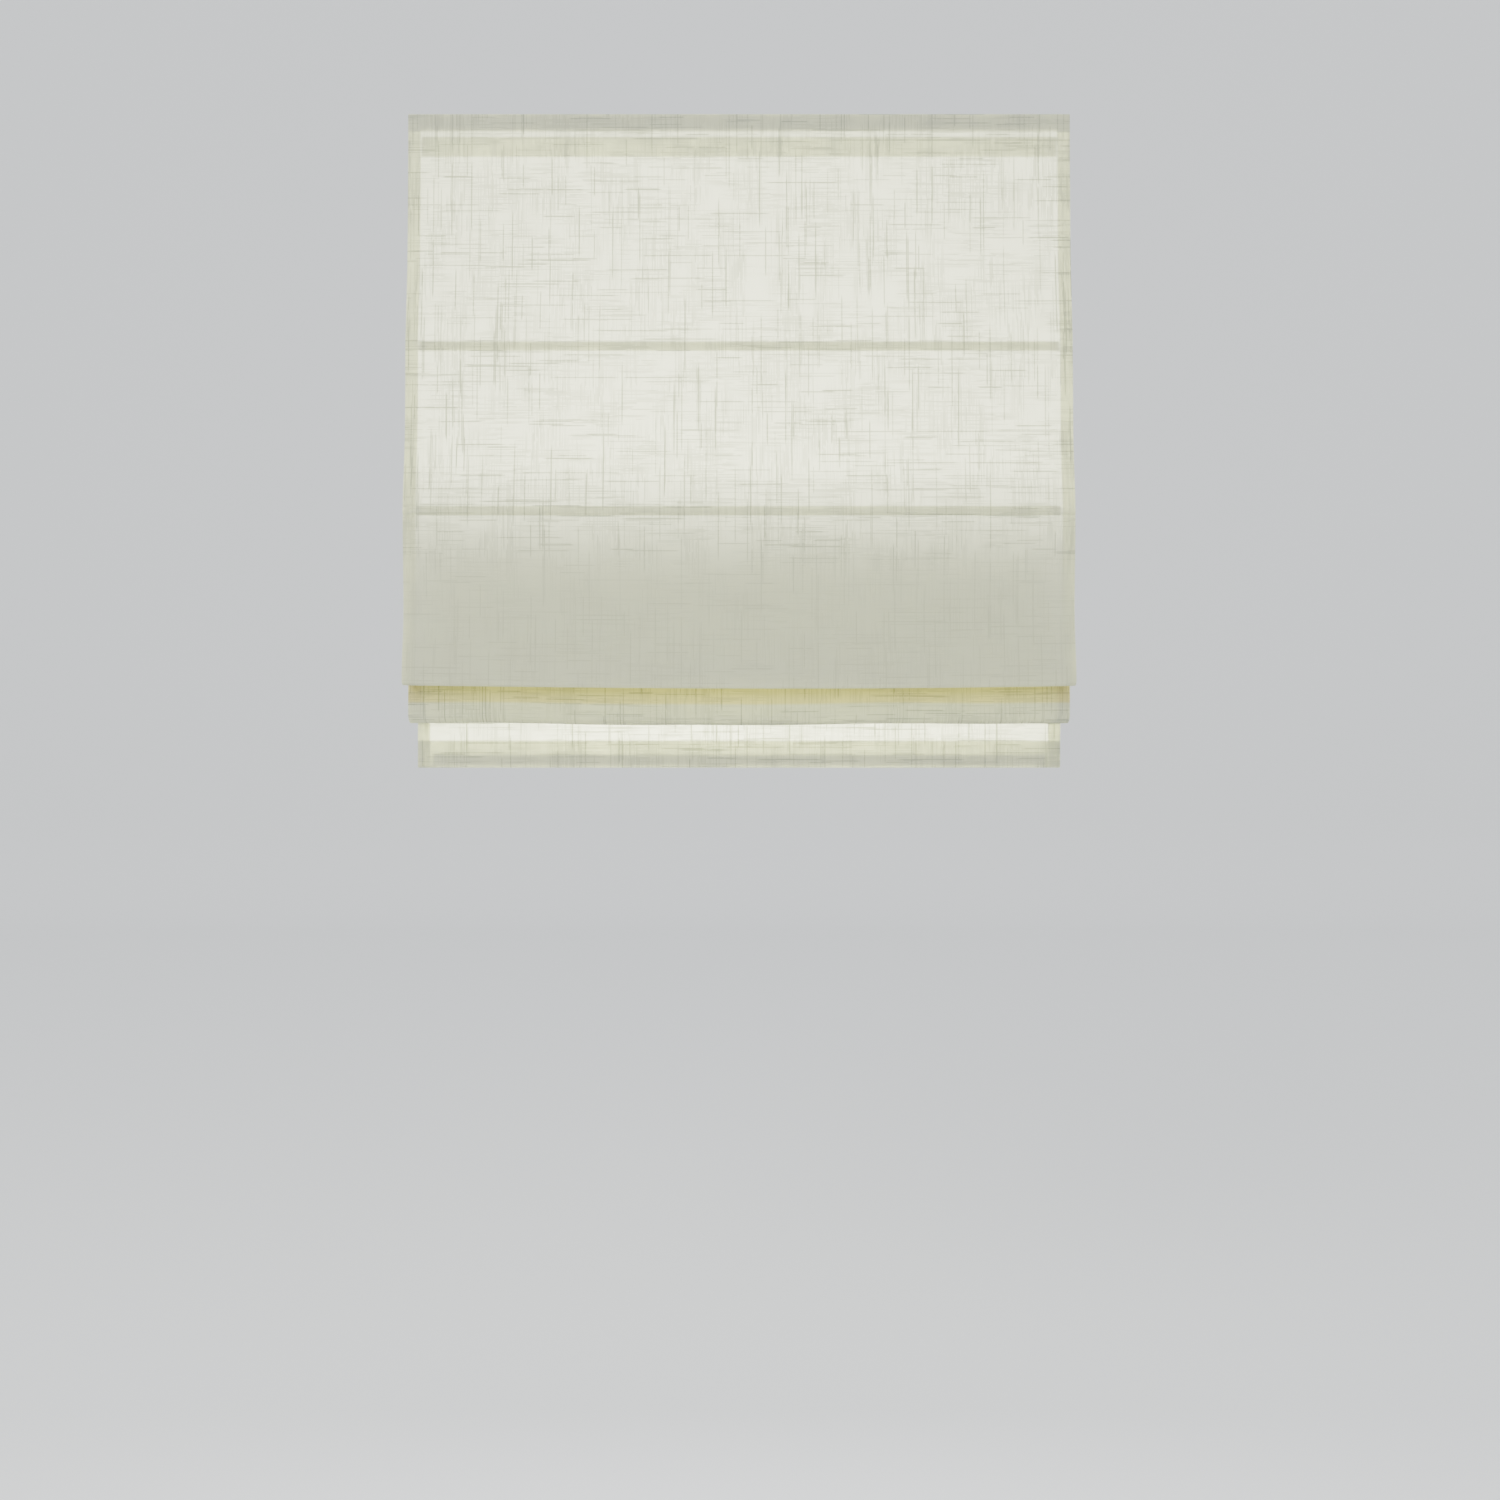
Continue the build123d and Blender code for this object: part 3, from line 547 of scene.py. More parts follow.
def fold_one_sag(x, z):
    """How far the front fold's cloth hangs below a straight line across, at its lowest."""
    still_below_seam, bow_share, wave_share, wave_turn, wave_start = 2 * MM, 0.62, 0.10, 2.3, 0.4
    share = smoothstep((SEAM_TWO_Z - still_below_seam - z) / (SEAM_TWO_Z - FOLD_ONE_LOW))
    side = x / HALF_WIDTH
    wave = wave_share * math.sin(wave_turn * side + wave_start)
    return sheet_sizes().bow * share * (bow_share * (1 - side ** 2) + wave)


def fold_two_sag(x, z):
    """The second fold's sag, with the slow wave of its lower edge."""
    still_below_rings, bow_share, slow_share, quick_share = 25 * MM, 0.42, 0.16, 0.08
    share = smoothstep((RING_TWO_Z - still_below_rings - z) / (RING_TWO_Z - FOLD_TWO_LOW))
    side = x / HALF_WIDTH
    slow_wave, quick_wave = math.sin(5.1 * side + 2.2), math.sin(11.0 * side)
    wave = bow_share * (1 - side ** 2) + slow_share * slow_wave + quick_share * quick_wave
    return sheet_sizes().bow * share * wave


def ripple_at(x, z, seed, calm):
    """Slow waves over the cloth, forward and back, still where calm is 0."""
    slanted_share, height_share = 0.6, 0.6
    square = math.sin(x * 13.1 + seed) * math.sin(z * 17.0 + 1.7 * seed)
    slanted = math.sin(x * 27.0 + z * 9.0 + 2.3 * seed)
    return sheet_sizes().ripple * height_share * (square + slanted_share * slanted) * calm


def calm_between(z, top, top_reach, foot, foot_reach):
    """1 well between two heights, and 0 at and beyond them."""
    return smoothstep((top - z) / top_reach) * smoothstep((z - foot) / foot_reach)


def spread_at(z, marks):
    """Extra half width at a height, from a list of (height, extra), top first."""
    for (z1, extra1), (z2, extra2) in zip(marks, marks[1:]):
        if z2 <= z <= z1:
            return extra1 + (extra2 - extra1) * smoothstep((z1 - z) / (z1 - z2))
    return marks[0][1] if z > marks[0][0] else marks[-1][1]


def mesh_piece(name, mesh):
    """An object in the scene from a finished bmesh."""
    data = bpy.data.meshes.new(name)
    mesh.to_mesh(data)
    mesh.free()
    piece = bpy.data.objects.new(name, data)
    bpy.context.scene.collection.objects.link(piece)
    return piece


def sheet_piece(name, grid, uv_shift=(0.0, 0.0)):
    """A sheet of even thickness through a grid of rows of (place, flat place) pairs."""
    mesh = bmesh.new()
    uv_layer = mesh.loops.layers.uv.new("UVMap")
    rows = [[(mesh.verts.new(place), flat) for place, flat in row] for row in grid]
    for upper, lower in zip(rows, rows[1:]):
        for a in range(len(upper) - 1):
            corners = [upper[a], lower[a], lower[a + 1], upper[a + 1]]
            face = mesh.faces.new([corner[0] for corner in corners])
            face.smooth = True
            for loop, (_, flat) in zip(face.loops, corners):
                loop[uv_layer].uv = (flat[0] + uv_shift[0], flat[1] + uv_shift[1])
    piece = mesh_piece(name, mesh)
    solid = piece.modifiers.new("Thickness", "SOLIDIFY")
    solid.thickness = sheet_sizes().thickness
    solid.offset = 0.0
    solid.use_rim = True
    apply_modifiers(piece)
    return piece


def cloth_mesh(name, side, shape):
    """A sheet with side hems turned to its back. shape(x, y, z, length) gives a point's place."""
    sizes = sheet_sizes()
    hem_lift, fold_in, hem_steps = 0.55 * MM, 0.5 * MM, 3
    inner = HALF_WIDTH - sizes.side_hem
    count = sizes.columns
    front = [-HALF_WIDTH + fold_in + (2 * (HALF_WIDTH - fold_in)) * i / count
             for i in range(count + 1)]
    hem = [inner + (HALF_WIDTH - fold_in - inner) * i / hem_steps for i in range(hem_steps + 1)]
    columns = [(-x, 1.0, -(2 * HALF_WIDTH - x)) for x in hem]
    columns += [(-HALF_WIDTH, 0.5, -HALF_WIDTH)]
    columns += [(x, 0.0, x) for x in front]
    columns += [(HALF_WIDTH, 0.5, HALF_WIDTH)]
    columns += [(x, 1.0, 2 * HALF_WIDTH - x) for x in reversed(hem)]
    grid = []
    last = len(side.points) - 1
    for i, ((y, z), length) in enumerate(zip(side.points, side.lengths)):
        y0, z0 = side.points[max(0, i - 1)]
        y1, z1 = side.points[min(last, i + 1)]
        run = math.hypot(y1 - y0, z1 - z0) or 1.0
        normal_y, normal_z = -(z1 - z0) / run, (y1 - y0) / run
        row = []
        for x, layer, flat_x in columns:
            moved_x, moved_y, moved_z = shape(x, y, z, length)
            off = layer * hem_lift
            place = (moved_x, moved_y + normal_y * off, moved_z + normal_z * off)
            row.append((place, (flat_x, length)))
        grid.append(row)
    return sheet_piece(name, grid)


def apply_modifiers(piece):
    bpy.ops.object.select_all(action="DESELECT")
    bpy.context.view_layer.objects.active = piece
    piece.select_set(True)
    for modifier in list(piece.modifiers):
        bpy.ops.object.modifier_apply(modifier=modifier.name)
    piece.select_set(False)


def seam_relief(z, seam_z):
    """Depth change at a batten seam: fuller over the sleeve, drawn in at the stitching."""
    sleeve, fullness, stitch_pull, stitch_reach = 11 * MM, 0.7 * MM, 0.9 * MM, 1.6 * MM
    above = (z - seam_z) / sleeve
    full = -fullness * math.sin(math.pi * above) if 0 < above < 1 else 0.0
    return full + stitch_pull * math.exp(-((z - seam_z) / stitch_reach) ** 2)


def front_sheet_side():
    """From the top hem's end behind the rail's face, over the top and round the front fold."""
    before_rail, turn_r, hem_end = 0.55 * MM, 0.875 * MM, TOP_HEM_Z + 30 * MM
    seam_above, seam_below, seam_row = 13 * MM, 5 * MM, 1.0 * MM
    front_y = HEAD_Y - before_rail
    fold_r = (FOLD_ONE_BACK - FOLD_ONE_FRONT) / 2
    fold_z = FOLD_ONE_LOW + fold_r
    side = SideView(front_y + 2 * turn_r, hem_end)
    side.to(front_y + 2 * turn_r, TOP - turn_r)
    side.turn(front_y + turn_r, TOP - turn_r, turn_r, 0, 180, 6)
    down = SideView(front_y, TOP - turn_r, side.lengths[-1])
    down.to(front_y, TOP_HEM_Z)
    for seam, y in ((SEAM_ONE_Z, SEAM_ONE_Y), (SEAM_TWO_Z, SEAM_TWO_Y)):
        down.to(y, seam + seam_above)
        down.to(y, seam - seam_below, seam_row)
    down.to(FOLD_ONE_FRONT, fold_z + 60 * MM)
    side.follow(down.relaxed(14 * MM))
    side.to(FOLD_ONE_FRONT, fold_z, 5 * MM)
    side.turn(FOLD_ONE_FRONT + fold_r, fold_z, fold_r, 180, 360, 14)
    return side.to(FOLD_ONE_BACK, FOLD_ONE_TOP, 4 * MM)


def rise_side(start_length, back_y, foot_z, lean, ring_y, ring_z):
    """Up the back of a fold, leaning back at first, to the ring line over it."""
    leaning, upright = 20 * MM, 12 * MM
    front_y = ring_y - 2 * RING_TURN_R
    turn_z = ring_z - RING_TURN_R
    side = SideView(back_y, foot_z, start_length)
    side.to(back_y + lean, foot_z + leaning)
    side.to(front_y, turn_z - upright)
    side.to(front_y, turn_z, 3 * MM)
    side.relaxed(18 * MM, 1)
    return side.turn(front_y + RING_TURN_R, turn_z, RING_TURN_R, 180, 90, 6)


def rise_one_side():
    """Up the back of the front fold to the upper ring line."""
    return rise_side(SECOND_SHEET_START, FOLD_ONE_BACK, FOLD_ONE_TOP, 2 * MM,
                     RING_ONE_Y, RING_ONE_Z)


def rise_two_side():
    """Up the back of the second fold to the lower ring line."""
    return rise_side(BOTTOM_SHEET_START, FOLD_TWO_BACK, FOLD_TWO_TOP, 1.5 * MM,
                     RING_TWO_Y, RING_TWO_Z)


def over_ring_side(start_length, ring_y, ring_z):
    """From the top of a ring line round to its back."""
    side = SideView(ring_y - RING_TURN_R, ring_z, start_length)
    return side.turn(ring_y - RING_TURN_R, ring_z - RING_TURN_R, RING_TURN_R, 90, 0, 6)


def fold_two_side(start_length):
    """Over the upper ring line, down and round the second fold."""
    turn_z = RING_ONE_Z - RING_TURN_R
    fold_r = (FOLD_TWO_BACK - FOLD_TWO_FRONT) / 2
    fold_z = FOLD_TWO_LOW + fold_r
    side = over_ring_side(start_length, RING_ONE_Y, RING_ONE_Z)
    down = SideView(RING_ONE_Y, turn_z, side.lengths[-1])
    down.to(RING_ONE_Y - 0.5 * MM, turn_z - 6 * MM, 3 * MM)
    down.to(FOLD_TWO_FRONT + 1 * MM, fold_z + 38 * MM)
    down.to(FOLD_TWO_FRONT, fold_z + 14 * MM, 5 * MM)
    down.to(FOLD_TWO_FRONT, fold_z, 3 * MM)
    side.follow(down.relaxed(16 * MM))
    side.turn(FOLD_TWO_FRONT + fold_r, fold_z, fold_r, 180, 360, 22)
    return side.to(FOLD_TWO_BACK, FOLD_TWO_TOP, 4 * MM)


def bottom_side(start_length):
    """Over the lower ring line, down the bottom panel, round the bar and up the hem's back."""
    stitch_lift, stitch_height, over_hem, over_bar = 1.65 * MM, 4 * MM, 6 * MM, 1 * MM
    hem_r = (HEM_BACK_Y - RING_TWO_Y) / 2
    hem_z = BOTTOM_Z + hem_r
    stitched_y = RING_TWO_Y + stitch_lift
    hem_top = BOTTOM_Z + sheet_sizes().bottom_hem
    side = over_ring_side(start_length, RING_TWO_Y, RING_TWO_Z)
    side.to(RING_TWO_Y, hem_top + over_hem)
    side.to(RING_TWO_Y, hem_z, 2 * MM)
    side.turn(RING_TWO_Y + hem_r, hem_z, hem_r, 180, 360, 12)
    side.to(HEM_BACK_Y, BAR_TOP + over_bar, 3 * MM)
    side.to(stitched_y, hem_top - stitch_height, 2 * MM)
    return side.to(stitched_y, hem_top, 2 * MM)


# ---- Where the cloth's side view ends up across the blind ----
def front_cloth_shape(x, y, z, length):
    """The front sheet: spread at the seams, slow waves between them, the fold's sag and flare."""
    share = x / HALF_WIDTH
    widths = [(TOP_HEM_Z, 0.0), (SEAM_ONE_Z + 117 * MM, -0.5 * MM),
              (SEAM_ONE_Z, 1.0 * MM), (SEAM_ONE_Z - 95 * MM, 0.6 * MM),
              (SEAM_TWO_Z, 2.0 * MM), (SEAM_TWO_Z - 117 * MM, 0.9 * MM),
              (FOLD_ONE_LOW + 6 * MM, sheet_sizes().flare)]
    quiet, corner_reach, flare_share, flare_power = 60 * MM, 100 * MM, 0.7, 6
    new_x = x + share * spread_at(z, widths)
    if z > TOP_HEM_Z:
        return new_x, y, z
    in_front = min(1.0, max(0.0, (FOLD_ONE_BACK - y) / (FOLD_ONE_BACK - FOLD_ONE_FRONT)))
    calm = calm_between(z, TOP_HEM_Z, quiet, SEAM_TWO_Z + 12 * MM, quiet)
    calm *= smoothstep(abs(z - SEAM_ONE_Z + 4 * MM) / quiet)
    low_down = smoothstep((SEAM_TWO_Z - 90 * MM - z) / corner_reach)
    new_y = y + ripple_at(x, z, 0.8, calm)
    new_y += (seam_relief(z, SEAM_ONE_Z) + seam_relief(z, SEAM_TWO_Z)) * in_front
    new_y -= sheet_sizes().flare * flare_share * low_down * in_front * abs(share) ** flare_power
    return new_x, new_y, z - fold_one_sag(x, z)


def second_cloth_shape(ring_length):
    """The second sheet: it follows the front fold's sag up to the ring line, then its own."""
    def shape(x, y, z, length):
        if length < ring_length:
            return x, y, z - fold_one_sag(x, z)
        calm = calm_between(z, RING_ONE_Z - 20 * MM, 50 * MM, FOLD_TWO_LOW + 40 * MM, 40 * MM)
        return x, y + ripple_at(x, z, 2.6, 0.5 * calm), z - fold_two_sag(x, z)
    return shape


def bottom_cloth_shape(ring_length):
    """The bottom sheet: it follows the second fold's sag up to the ring line, then hangs flat."""
    drawn_in = 0.3 * MM

    def shape(x, y, z, length):
        if length < ring_length:
            return x, y, z - fold_two_sag(x, z)
        share = x / HALF_WIDTH
        calm = calm_between(z, RING_TWO_Z - 20 * MM, 40 * MM, BAR_TOP + 14 * MM, 25 * MM)
        return x - drawn_in * share, y + ripple_at(x, z, 5.2, 0.5 * calm), z
    return shape


def declare_cloth(piece):
    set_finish(piece, "linen")


def strip_side(points):
    """The side view of a short strip through a few points."""
    side = SideView(*points[0])
    for y, z in points[1:]:
        side.to(y, z, 1.5 * MM)
    return side


def strip_mesh(name, side, shape, half_width, columns=32):
    """A narrow strip of cloth across the blind, such as a sleeve or a facing."""
    across = [-half_width + 2 * half_width * i / columns for i in range(columns + 1)]
    grid = [[(shape(x, y, z, length), (x, length)) for x in across]
            for (y, z), length in zip(side.points, side.lengths)]
    return sheet_piece(name, grid, uv_shift=(1.3, 2.1))


# ---- Cords ----
def tube_mesh(name, points, radius, sides=10):
    """A closed tube along points in space, with a UV map in metres round and along it."""
    mesh = bmesh.new()
    uv_layer = mesh.loops.layers.uv.new("UVMap")
    points = [Vector(p) for p in points]
    last = len(points) - 1
    tangents = [(points[min(i + 1, last)] - points[max(i - 1, 0)]).normalized()
                for i in range(last + 1)]
    first = Vector((1, 0, 0)) if abs(tangents[0].x) < 0.9 else Vector((0, 1, 0))
    sideways = tangents[0].cross(first).normalized()
    rings, length = [], 0.0
    for i, (point, tangent) in enumerate(zip(points, tangents)):
        if i:
            length += (point - points[i - 1]).length
            sideways = (sideways - tangent * sideways.dot(tangent)).normalized()
        other = tangent.cross(sideways)
        ring = []
        for k in range(sides):
            angle = 2 * math.pi * k / sides
            outward = math.cos(angle) * sideways + math.sin(angle) * other
            ring.append(mesh.verts.new(point + radius * outward))
        rings.append((ring, length))
    for (ring, start), (after, end) in zip(rings, rings[1:]):
        for k in range(sides):
            beside = (k + 1) % sides
            face = mesh.faces.new((ring[k], ring[beside], after[beside], after[k]))
            face.smooth = True
            u0, u1 = (2 * math.pi * radius * j / sides for j in (k, k + 1))
            for loop, uv in zip(face.loops, ((u0, start), (u1, start), (u1, end), (u0, end))):
                loop[uv_layer].uv = uv
    mesh.faces.new(list(reversed(rings[0][0])))
    mesh.faces.new(rings[-1][0])
    bmesh.ops.recalc_face_normals(mesh, faces=mesh.faces)
    return mesh_piece(name, mesh)


def straight(start, end, step):
    """Points from start to end, both included."""
    start, end = Vector(start), Vector(end)
    count = max(1, math.ceil((end - start).length / step))
    return [start.lerp(end, i / count) for i in range(count + 1)]


def bend_points(before, corner, after, radius, steps=10):
    """Points of the arc of that radius that rounds a corner between two runs."""
    corner = Vector(corner)
    arriving = (corner - Vector(before)).normalized()
    leaving = (Vector(after) - corner).normalized()
    turn = arriving.angle(leaving)
    reach = radius * math.tan(turn / 2)
    aside = (leaving - arriving * arriving.dot(leaving)).normalized()
    centre = corner - arriving * reach + aside * radius
    inward = (corner - arriving * reach - centre).normalized()
    angles = [turn * i / steps for i in range(steps + 1)]
    return [centre + radius * (inward * math.cos(a) + arriving * math.sin(a)) for a in angles]


# ---- Operators: one for each piece or group of like pieces ----
class BLIND_OT_front_cloth(bpy.types.Operator):
    """Makes the cloth from the top hem down to the front fold"""

    bl_idname = "blind.front_cloth"
    bl_label = "Front cloth"

    def execute(self, context):
        side = front_sheet_side()
        piece = cloth_mesh("front_cloth", side, front_cloth_shape)
        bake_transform(piece)
        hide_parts("cloth_front", "cloth_drop", "cloth_fold_one")
        declare_cloth(piece)
        return {"FINISHED"}


class BLIND_OT_second_cloth(bpy.types.Operator):
    """Makes the cloth from the front fold's back over the upper rings and round the second fold"""

    bl_idname = "blind.second_cloth"
    bl_label = "Second fold cloth"

    def execute(self, context):
        up = rise_one_side()
        ring_length = up.lengths[-1]
        up.follow(fold_two_side(ring_length))
        piece = cloth_mesh("second_cloth", up, second_cloth_shape(ring_length))
        panel = Vector((0, FOLD_TWO_FRONT - RING_ONE_Y, FOLD_TWO_LOW - RING_ONE_Z + 35 * MM))
        panel.normalize()
        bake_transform(piece)
        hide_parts("cloth_rise_one", "cloth_fold_two")
        declare_cloth(piece)
        return {"FINISHED"}


class BLIND_OT_bottom_cloth(bpy.types.Operator):
    """Makes the cloth from the second fold's back over the lower rings and down to the bar's hem"""

    bl_idname = "blind.bottom_cloth"
    bl_label = "Bottom cloth"

    def execute(self, context):
        up = rise_two_side()
        ring_length = up.lengths[-1]
        up.follow(bottom_side(ring_length))
        piece = cloth_mesh("bottom_cloth", up, bottom_cloth_shape(ring_length))
        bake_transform(piece)
        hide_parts("cloth_rise_two", "cloth_bottom")
        declare_cloth(piece)
        return {"FINISHED"}


class BLIND_OT_sleeves(bpy.types.Operator):
    """Makes the facing of the top hem and the sleeves that hold the battens"""

    bl_idname = "blind.sleeves"
    bl_label = "Facing and sleeves"

    def execute(self, context):
        edge = HALF_WIDTH - sheet_sizes().side_hem - 1 * MM
        facing_y = HEAD_Y + 0.6 * MM
        facing = [(facing_y, TOP_HEM_Z + FACING_HEIGHT), (facing_y, TOP_HEM_Z)]
        rows = [
            ("top_facing", "headrail", front_cloth_shape, facing),
            ("sleeve_1", "headrail", behind_cloth_shape, sleeve_points(SEAM_ONE_Y, "batten_1", 1)),
            ("sleeve_2", "headrail", behind_cloth_shape, sleeve_points(SEAM_TWO_Y, "batten_2", 1)),
            ("sleeve_3", "fold_one", plain_shape, sleeve_points(FOLD_ONE_BACK, "batten_3", -1)),
            ("sleeve_5", "fold_two", plain_shape, cradle_points("batten_5")),
        ]
        for name, body, shape, points in rows:
            side = strip_side(points)
            piece = strip_mesh(name, side, shape, edge)
            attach(piece, body)
            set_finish(piece, "linen")
        return {"FINISHED"}


def plain_shape(x, y, z, length):
    return x, y, z


def behind_cloth_shape(x, y, z, length):
    """Follows the front sheet's spread only, as a sleeve sewn to its back does."""
    spread = 1.002
    return x * spread, y, z


def sleeve_points(cloth_y, batten, out):
    """A sleeve over a batten, from its top stitching to its lower one, standing off on one side."""
    lift, step_in, step_down, flat_share = 0.75 * MM, 0.4 * MM, 1.6 * MM, 0.9
    lowest, highest = low(batten), high(batten)
    near = cloth_y + out * lift
    far = (highest[1] if out > 0 else lowest[1]) + out * SLEEVE_PLAY
    top, foot = highest[2] + SEAM_STITCH_DROP, lowest[2] - SEAM_STITCH_DROP
    middle, half = (highest[2] + lowest[2]) / 2, (highest[2] - lowest[2]) / 2
    return [(near, top), (near + out * step_in, top - step_down), (far, middle + half * flat_share),
            (far, middle - half * flat_share), (near + out * step_in, foot + step_down),
            (near, foot)]


def cradle_points(batten):
    """A sleeve over the batten that lies in the second fold."""
    lowest, highest = low(batten), high(batten)
    foot_reach, foot_lift, shoulder_reach, shoulder_drop = 5.5 * MM, 1.3 * MM, 2.2 * MM, 0.4 * MM
    middle = (lowest[1] + highest[1]) / 2
    top, foot = highest[2] + SLEEVE_PLAY, lowest[2] + foot_lift
    shoulder = top - shoulder_drop
    return [(middle - foot_reach, foot), (middle - shoulder_reach, shoulder), (middle, top),
            (middle + shoulder_reach, shoulder), (middle + foot_reach, foot)]


class BLIND_OT_lift_cords(bpy.types.Operator):
    """Makes the two lift cords: in the headrail, down through the rings, and on the spools"""

    bl_idname = "blind.lift_cords"
    bl_label = "Lift cords"

    def execute(self, context):
        post_turn, pulley_turn, spool_play = 3.2 * MM, 4.6 * MM, 0.3 * MM
        post = Vector((28 * MM, CORD_Y - post_turn, CORD_LEVEL))
        cut_one = SEAM_TWO_Z - 2 * MM
        cut_two = RING_ONE_Z - 1.5 * MM
        cut_three = RING_TWO_Z - 4.5 * MM
        for name, sign in (("left", -1), ("right", 1)):
            wound = f"cord_winding_{name}"
            middle = (low(wound) + high(wound)) / 2
            winding_r = (high(wound)[0] - low(wound)[0]) / 2
            leave_r = winding_r + CORD_R + spool_play
            across, along = post.x - abs(middle.x), post.y - middle.y
            lean = math.atan2(along, across)
            lean -= math.asin((leave_r - post_turn) / math.hypot(across, along))
            start = Vector((abs(middle.x) - leave_r * math.sin(lean),
                            middle.y + leave_r * math.cos(lean), CORD_LEVEL))
            corner_x = start.x + (CORD_Y - start.y) * math.cos(lean) / math.sin(lean)
            corner = Vector((corner_x, CORD_Y, CORD_LEVEL))
            over = Vector((CORD_X, CORD_Y, CORD_LEVEL))
            down = Vector((CORD_X, CORD_Y, CORD_LEVEL - 14 * MM))
            first = bend_points(start, corner, over, post_turn)
            second = bend_points(corner, over, down, pulley_turn)
            inside = [start, *first, *straight(first[-1], second[0], 20 * MM)[1:-1], *second, down]
            runs = [
                ("upper", down.z, cut_one, 6 * MM, ("headrail", "fold_one")),
                ("middle", cut_one, cut_two, 0.35 * MM, ("fold_one", "fold_two")),
                ("lower", cut_two, cut_three, 0.35 * MM, ("fold_two", "bottom")),
                ("end", cut_three, CORD_END, 2 * MM, "bottom"),
            ]
            pieces = [("rail", [Vector((sign * p.x, p.y, p.z)) for p in inside], "headrail")]
            for part, top, foot, step, bodies in runs:
                points = straight((sign * CORD_X, CORD_Y, top), (sign * CORD_X, CORD_Y, foot), step)
                pieces.append((part, points, bodies))
            for part, points, bodies in pieces:
                piece = tube_mesh(f"lift_cord_{name}_{part}", points, CORD_R)
                if isinstance(bodies, tuple):
                    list(bodies)
                    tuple(points[0])
                    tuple(points[-1])
                    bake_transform(piece)
                else:
                    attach(piece, bodies)
                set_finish(piece, "cord")
                if part == "rail":
                    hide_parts(f"lift_cord_{name}")
            turns = tube_mesh(f"wound_cord_{name}", wound_points(wound, middle, winding_r, sign),
                              CORD_R, 8)
            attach(turns, f"spool_{name}")
            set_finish(turns, "cord")
            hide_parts(wound)
        return {"FINISHED"}


def wound_points(wound, middle, winding_r, sign):
    """The cord on a spool: an inner layer of turns going up, and an outer one coming down."""
    lowest, highest = low(wound)[2] + CORD_R, high(wound)[2] - CORD_R
    inner, outer = winding_r - 3 * CORD_R, winding_r - CORD_R
    pitch, steps = 2.06 * CORD_R, 24
    count = math.floor((highest - lowest) / pitch) * steps
    points = []

    def add(i, radius, height):
        angle = sign * 2 * math.pi * i / steps
        points.append(Vector((middle.x + radius * math.cos(angle),
                              middle.y + radius * math.sin(angle), height)))

    for i in range(count):
        add(i, inner, lowest + (highest - lowest) * (i / count))
    for i in range(count + 1):
        swell = min(outer, inner + (outer - inner) * i / (steps / 2))
        add(i, swell, lowest + (highest - lowest) * (1 - i / count))
    return points


SLOT_OF = {
    "bracket_plate": "zinc_steel", "bracket_lever": "zinc_steel", "lever_rivets": "bright_steel",
    "motor_screws": "bright_steel", "axle_pins": "bright_steel", "pulley_pins": "bright_steel",
    "headrail_channel": "rail_paint", "end_cap": "white_plastic", "bar_caps": "white_plastic",
    "hook_tape": "tape", "loop_tape": "tape",
    "motor_case": "clear_plastic", "motor_lid": "clear_plastic",
    "storage_drum": "gear_plastic", "output_drum": "gear_plastic", "cord_spool": "gear_plastic",
    "drive_spring": "spring_steel", "cord_guide": "white_plastic", "guide_pulley": "gear_plastic",
    "batten": "rod", "upper_rings": "clear_plastic", "lower_rings": "clear_plastic",
    "cord_stops": "white_plastic", "bottom_bar": "bar_paint", "cloth": "linen",
    "lift_cord": "cord", "cord_winding": "cord",
}


class BLIND_OT_finishes(bpy.types.Operator):
    """Makes the materials and gives one to every piece"""

    bl_idname = "blind.finishes"
    bl_label = "Finishes"

    def execute(self, context):
        uneven = handling_group()
        slubs = slub_cloth_group(yarn_group())
        finish = {
            "linen": cloth_material(slubs),
            "cord": cord_material(),
            "rod": rod_material(uneven),
        }
        surfaces = (
            # The tape's grey is partly its own colour and partly painted shade, darkened for the
            # shaded headrail band behind the cloth.
            ("tape", "Hook and loop tape", (0.40, 0.40, 0.38), 0.9,
             {"grain": 1300.0, "tone": 0.12, "relief": 0.3, "sheen": 0.3}),
            ("rail_paint", "Rail paint", colours().rail, 0.42, {"coat": 0.15}),
            ("bar_paint", "Bar paint", colours().rail, 0.45, {"coat": 0.1}),
            ("zinc_steel", "Zinc plate", (0.60, 0.61, 0.62), 0.38, {"metallic": 1.0, "tone": 0.25}),
            ("bright_steel", "Drawn steel", (0.66, 0.66, 0.66), 0.26,
             {"metallic": 1.0, "streak": (1, 1, 0.15)}),
            ("spring_steel", "Spring steel", (0.34, 0.37, 0.42), 0.30,
             {"metallic": 1.0, "streak": (0.3, 0.3, 3.0)}),
            ("white_plastic", "White moulding", (0.82, 0.82, 0.80), 0.40, {"tone": 0.05}),
            ("gear_plastic", "Acetal", (0.80, 0.79, 0.73), 0.32, {"tone": 0.05}),
            ("clear_plastic", "Milky moulding", (0.74, 0.77, 0.78), 0.30, {"tone": 0.05}),
        )
        for slot, name, colour, roughness, rest in surfaces:
            finish[slot] = surface_material(uneven, name, colour, roughness, **rest)
        own = {
            "front_cloth": cloth_material(slubs, "Linen cloth of the front",
                                          calm_after=SEAM_TWO_LENGTH),
            # The second fold's cloth carries painted shade where it comes out from under the front
            # fold.
            "second_cloth": cloth_material(slubs, "Linen cloth of the second fold",
                                           painted_shade_at=painted_shade_stretch()),
        }
        for node, piece in frame["nodes"].items():
            named = [slot for start, slot in SLOT_OF.items() if node.startswith(start)]
            if len(named) != 1:
                raise RuntimeError(f"{node} has no finish of its own")
            dress(piece, finish[named[0]])
        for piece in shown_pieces():
            if "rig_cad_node" not in piece:
                dress(piece, own.get(piece.name) or finish[piece["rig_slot"]])
        return {"FINISHED"}


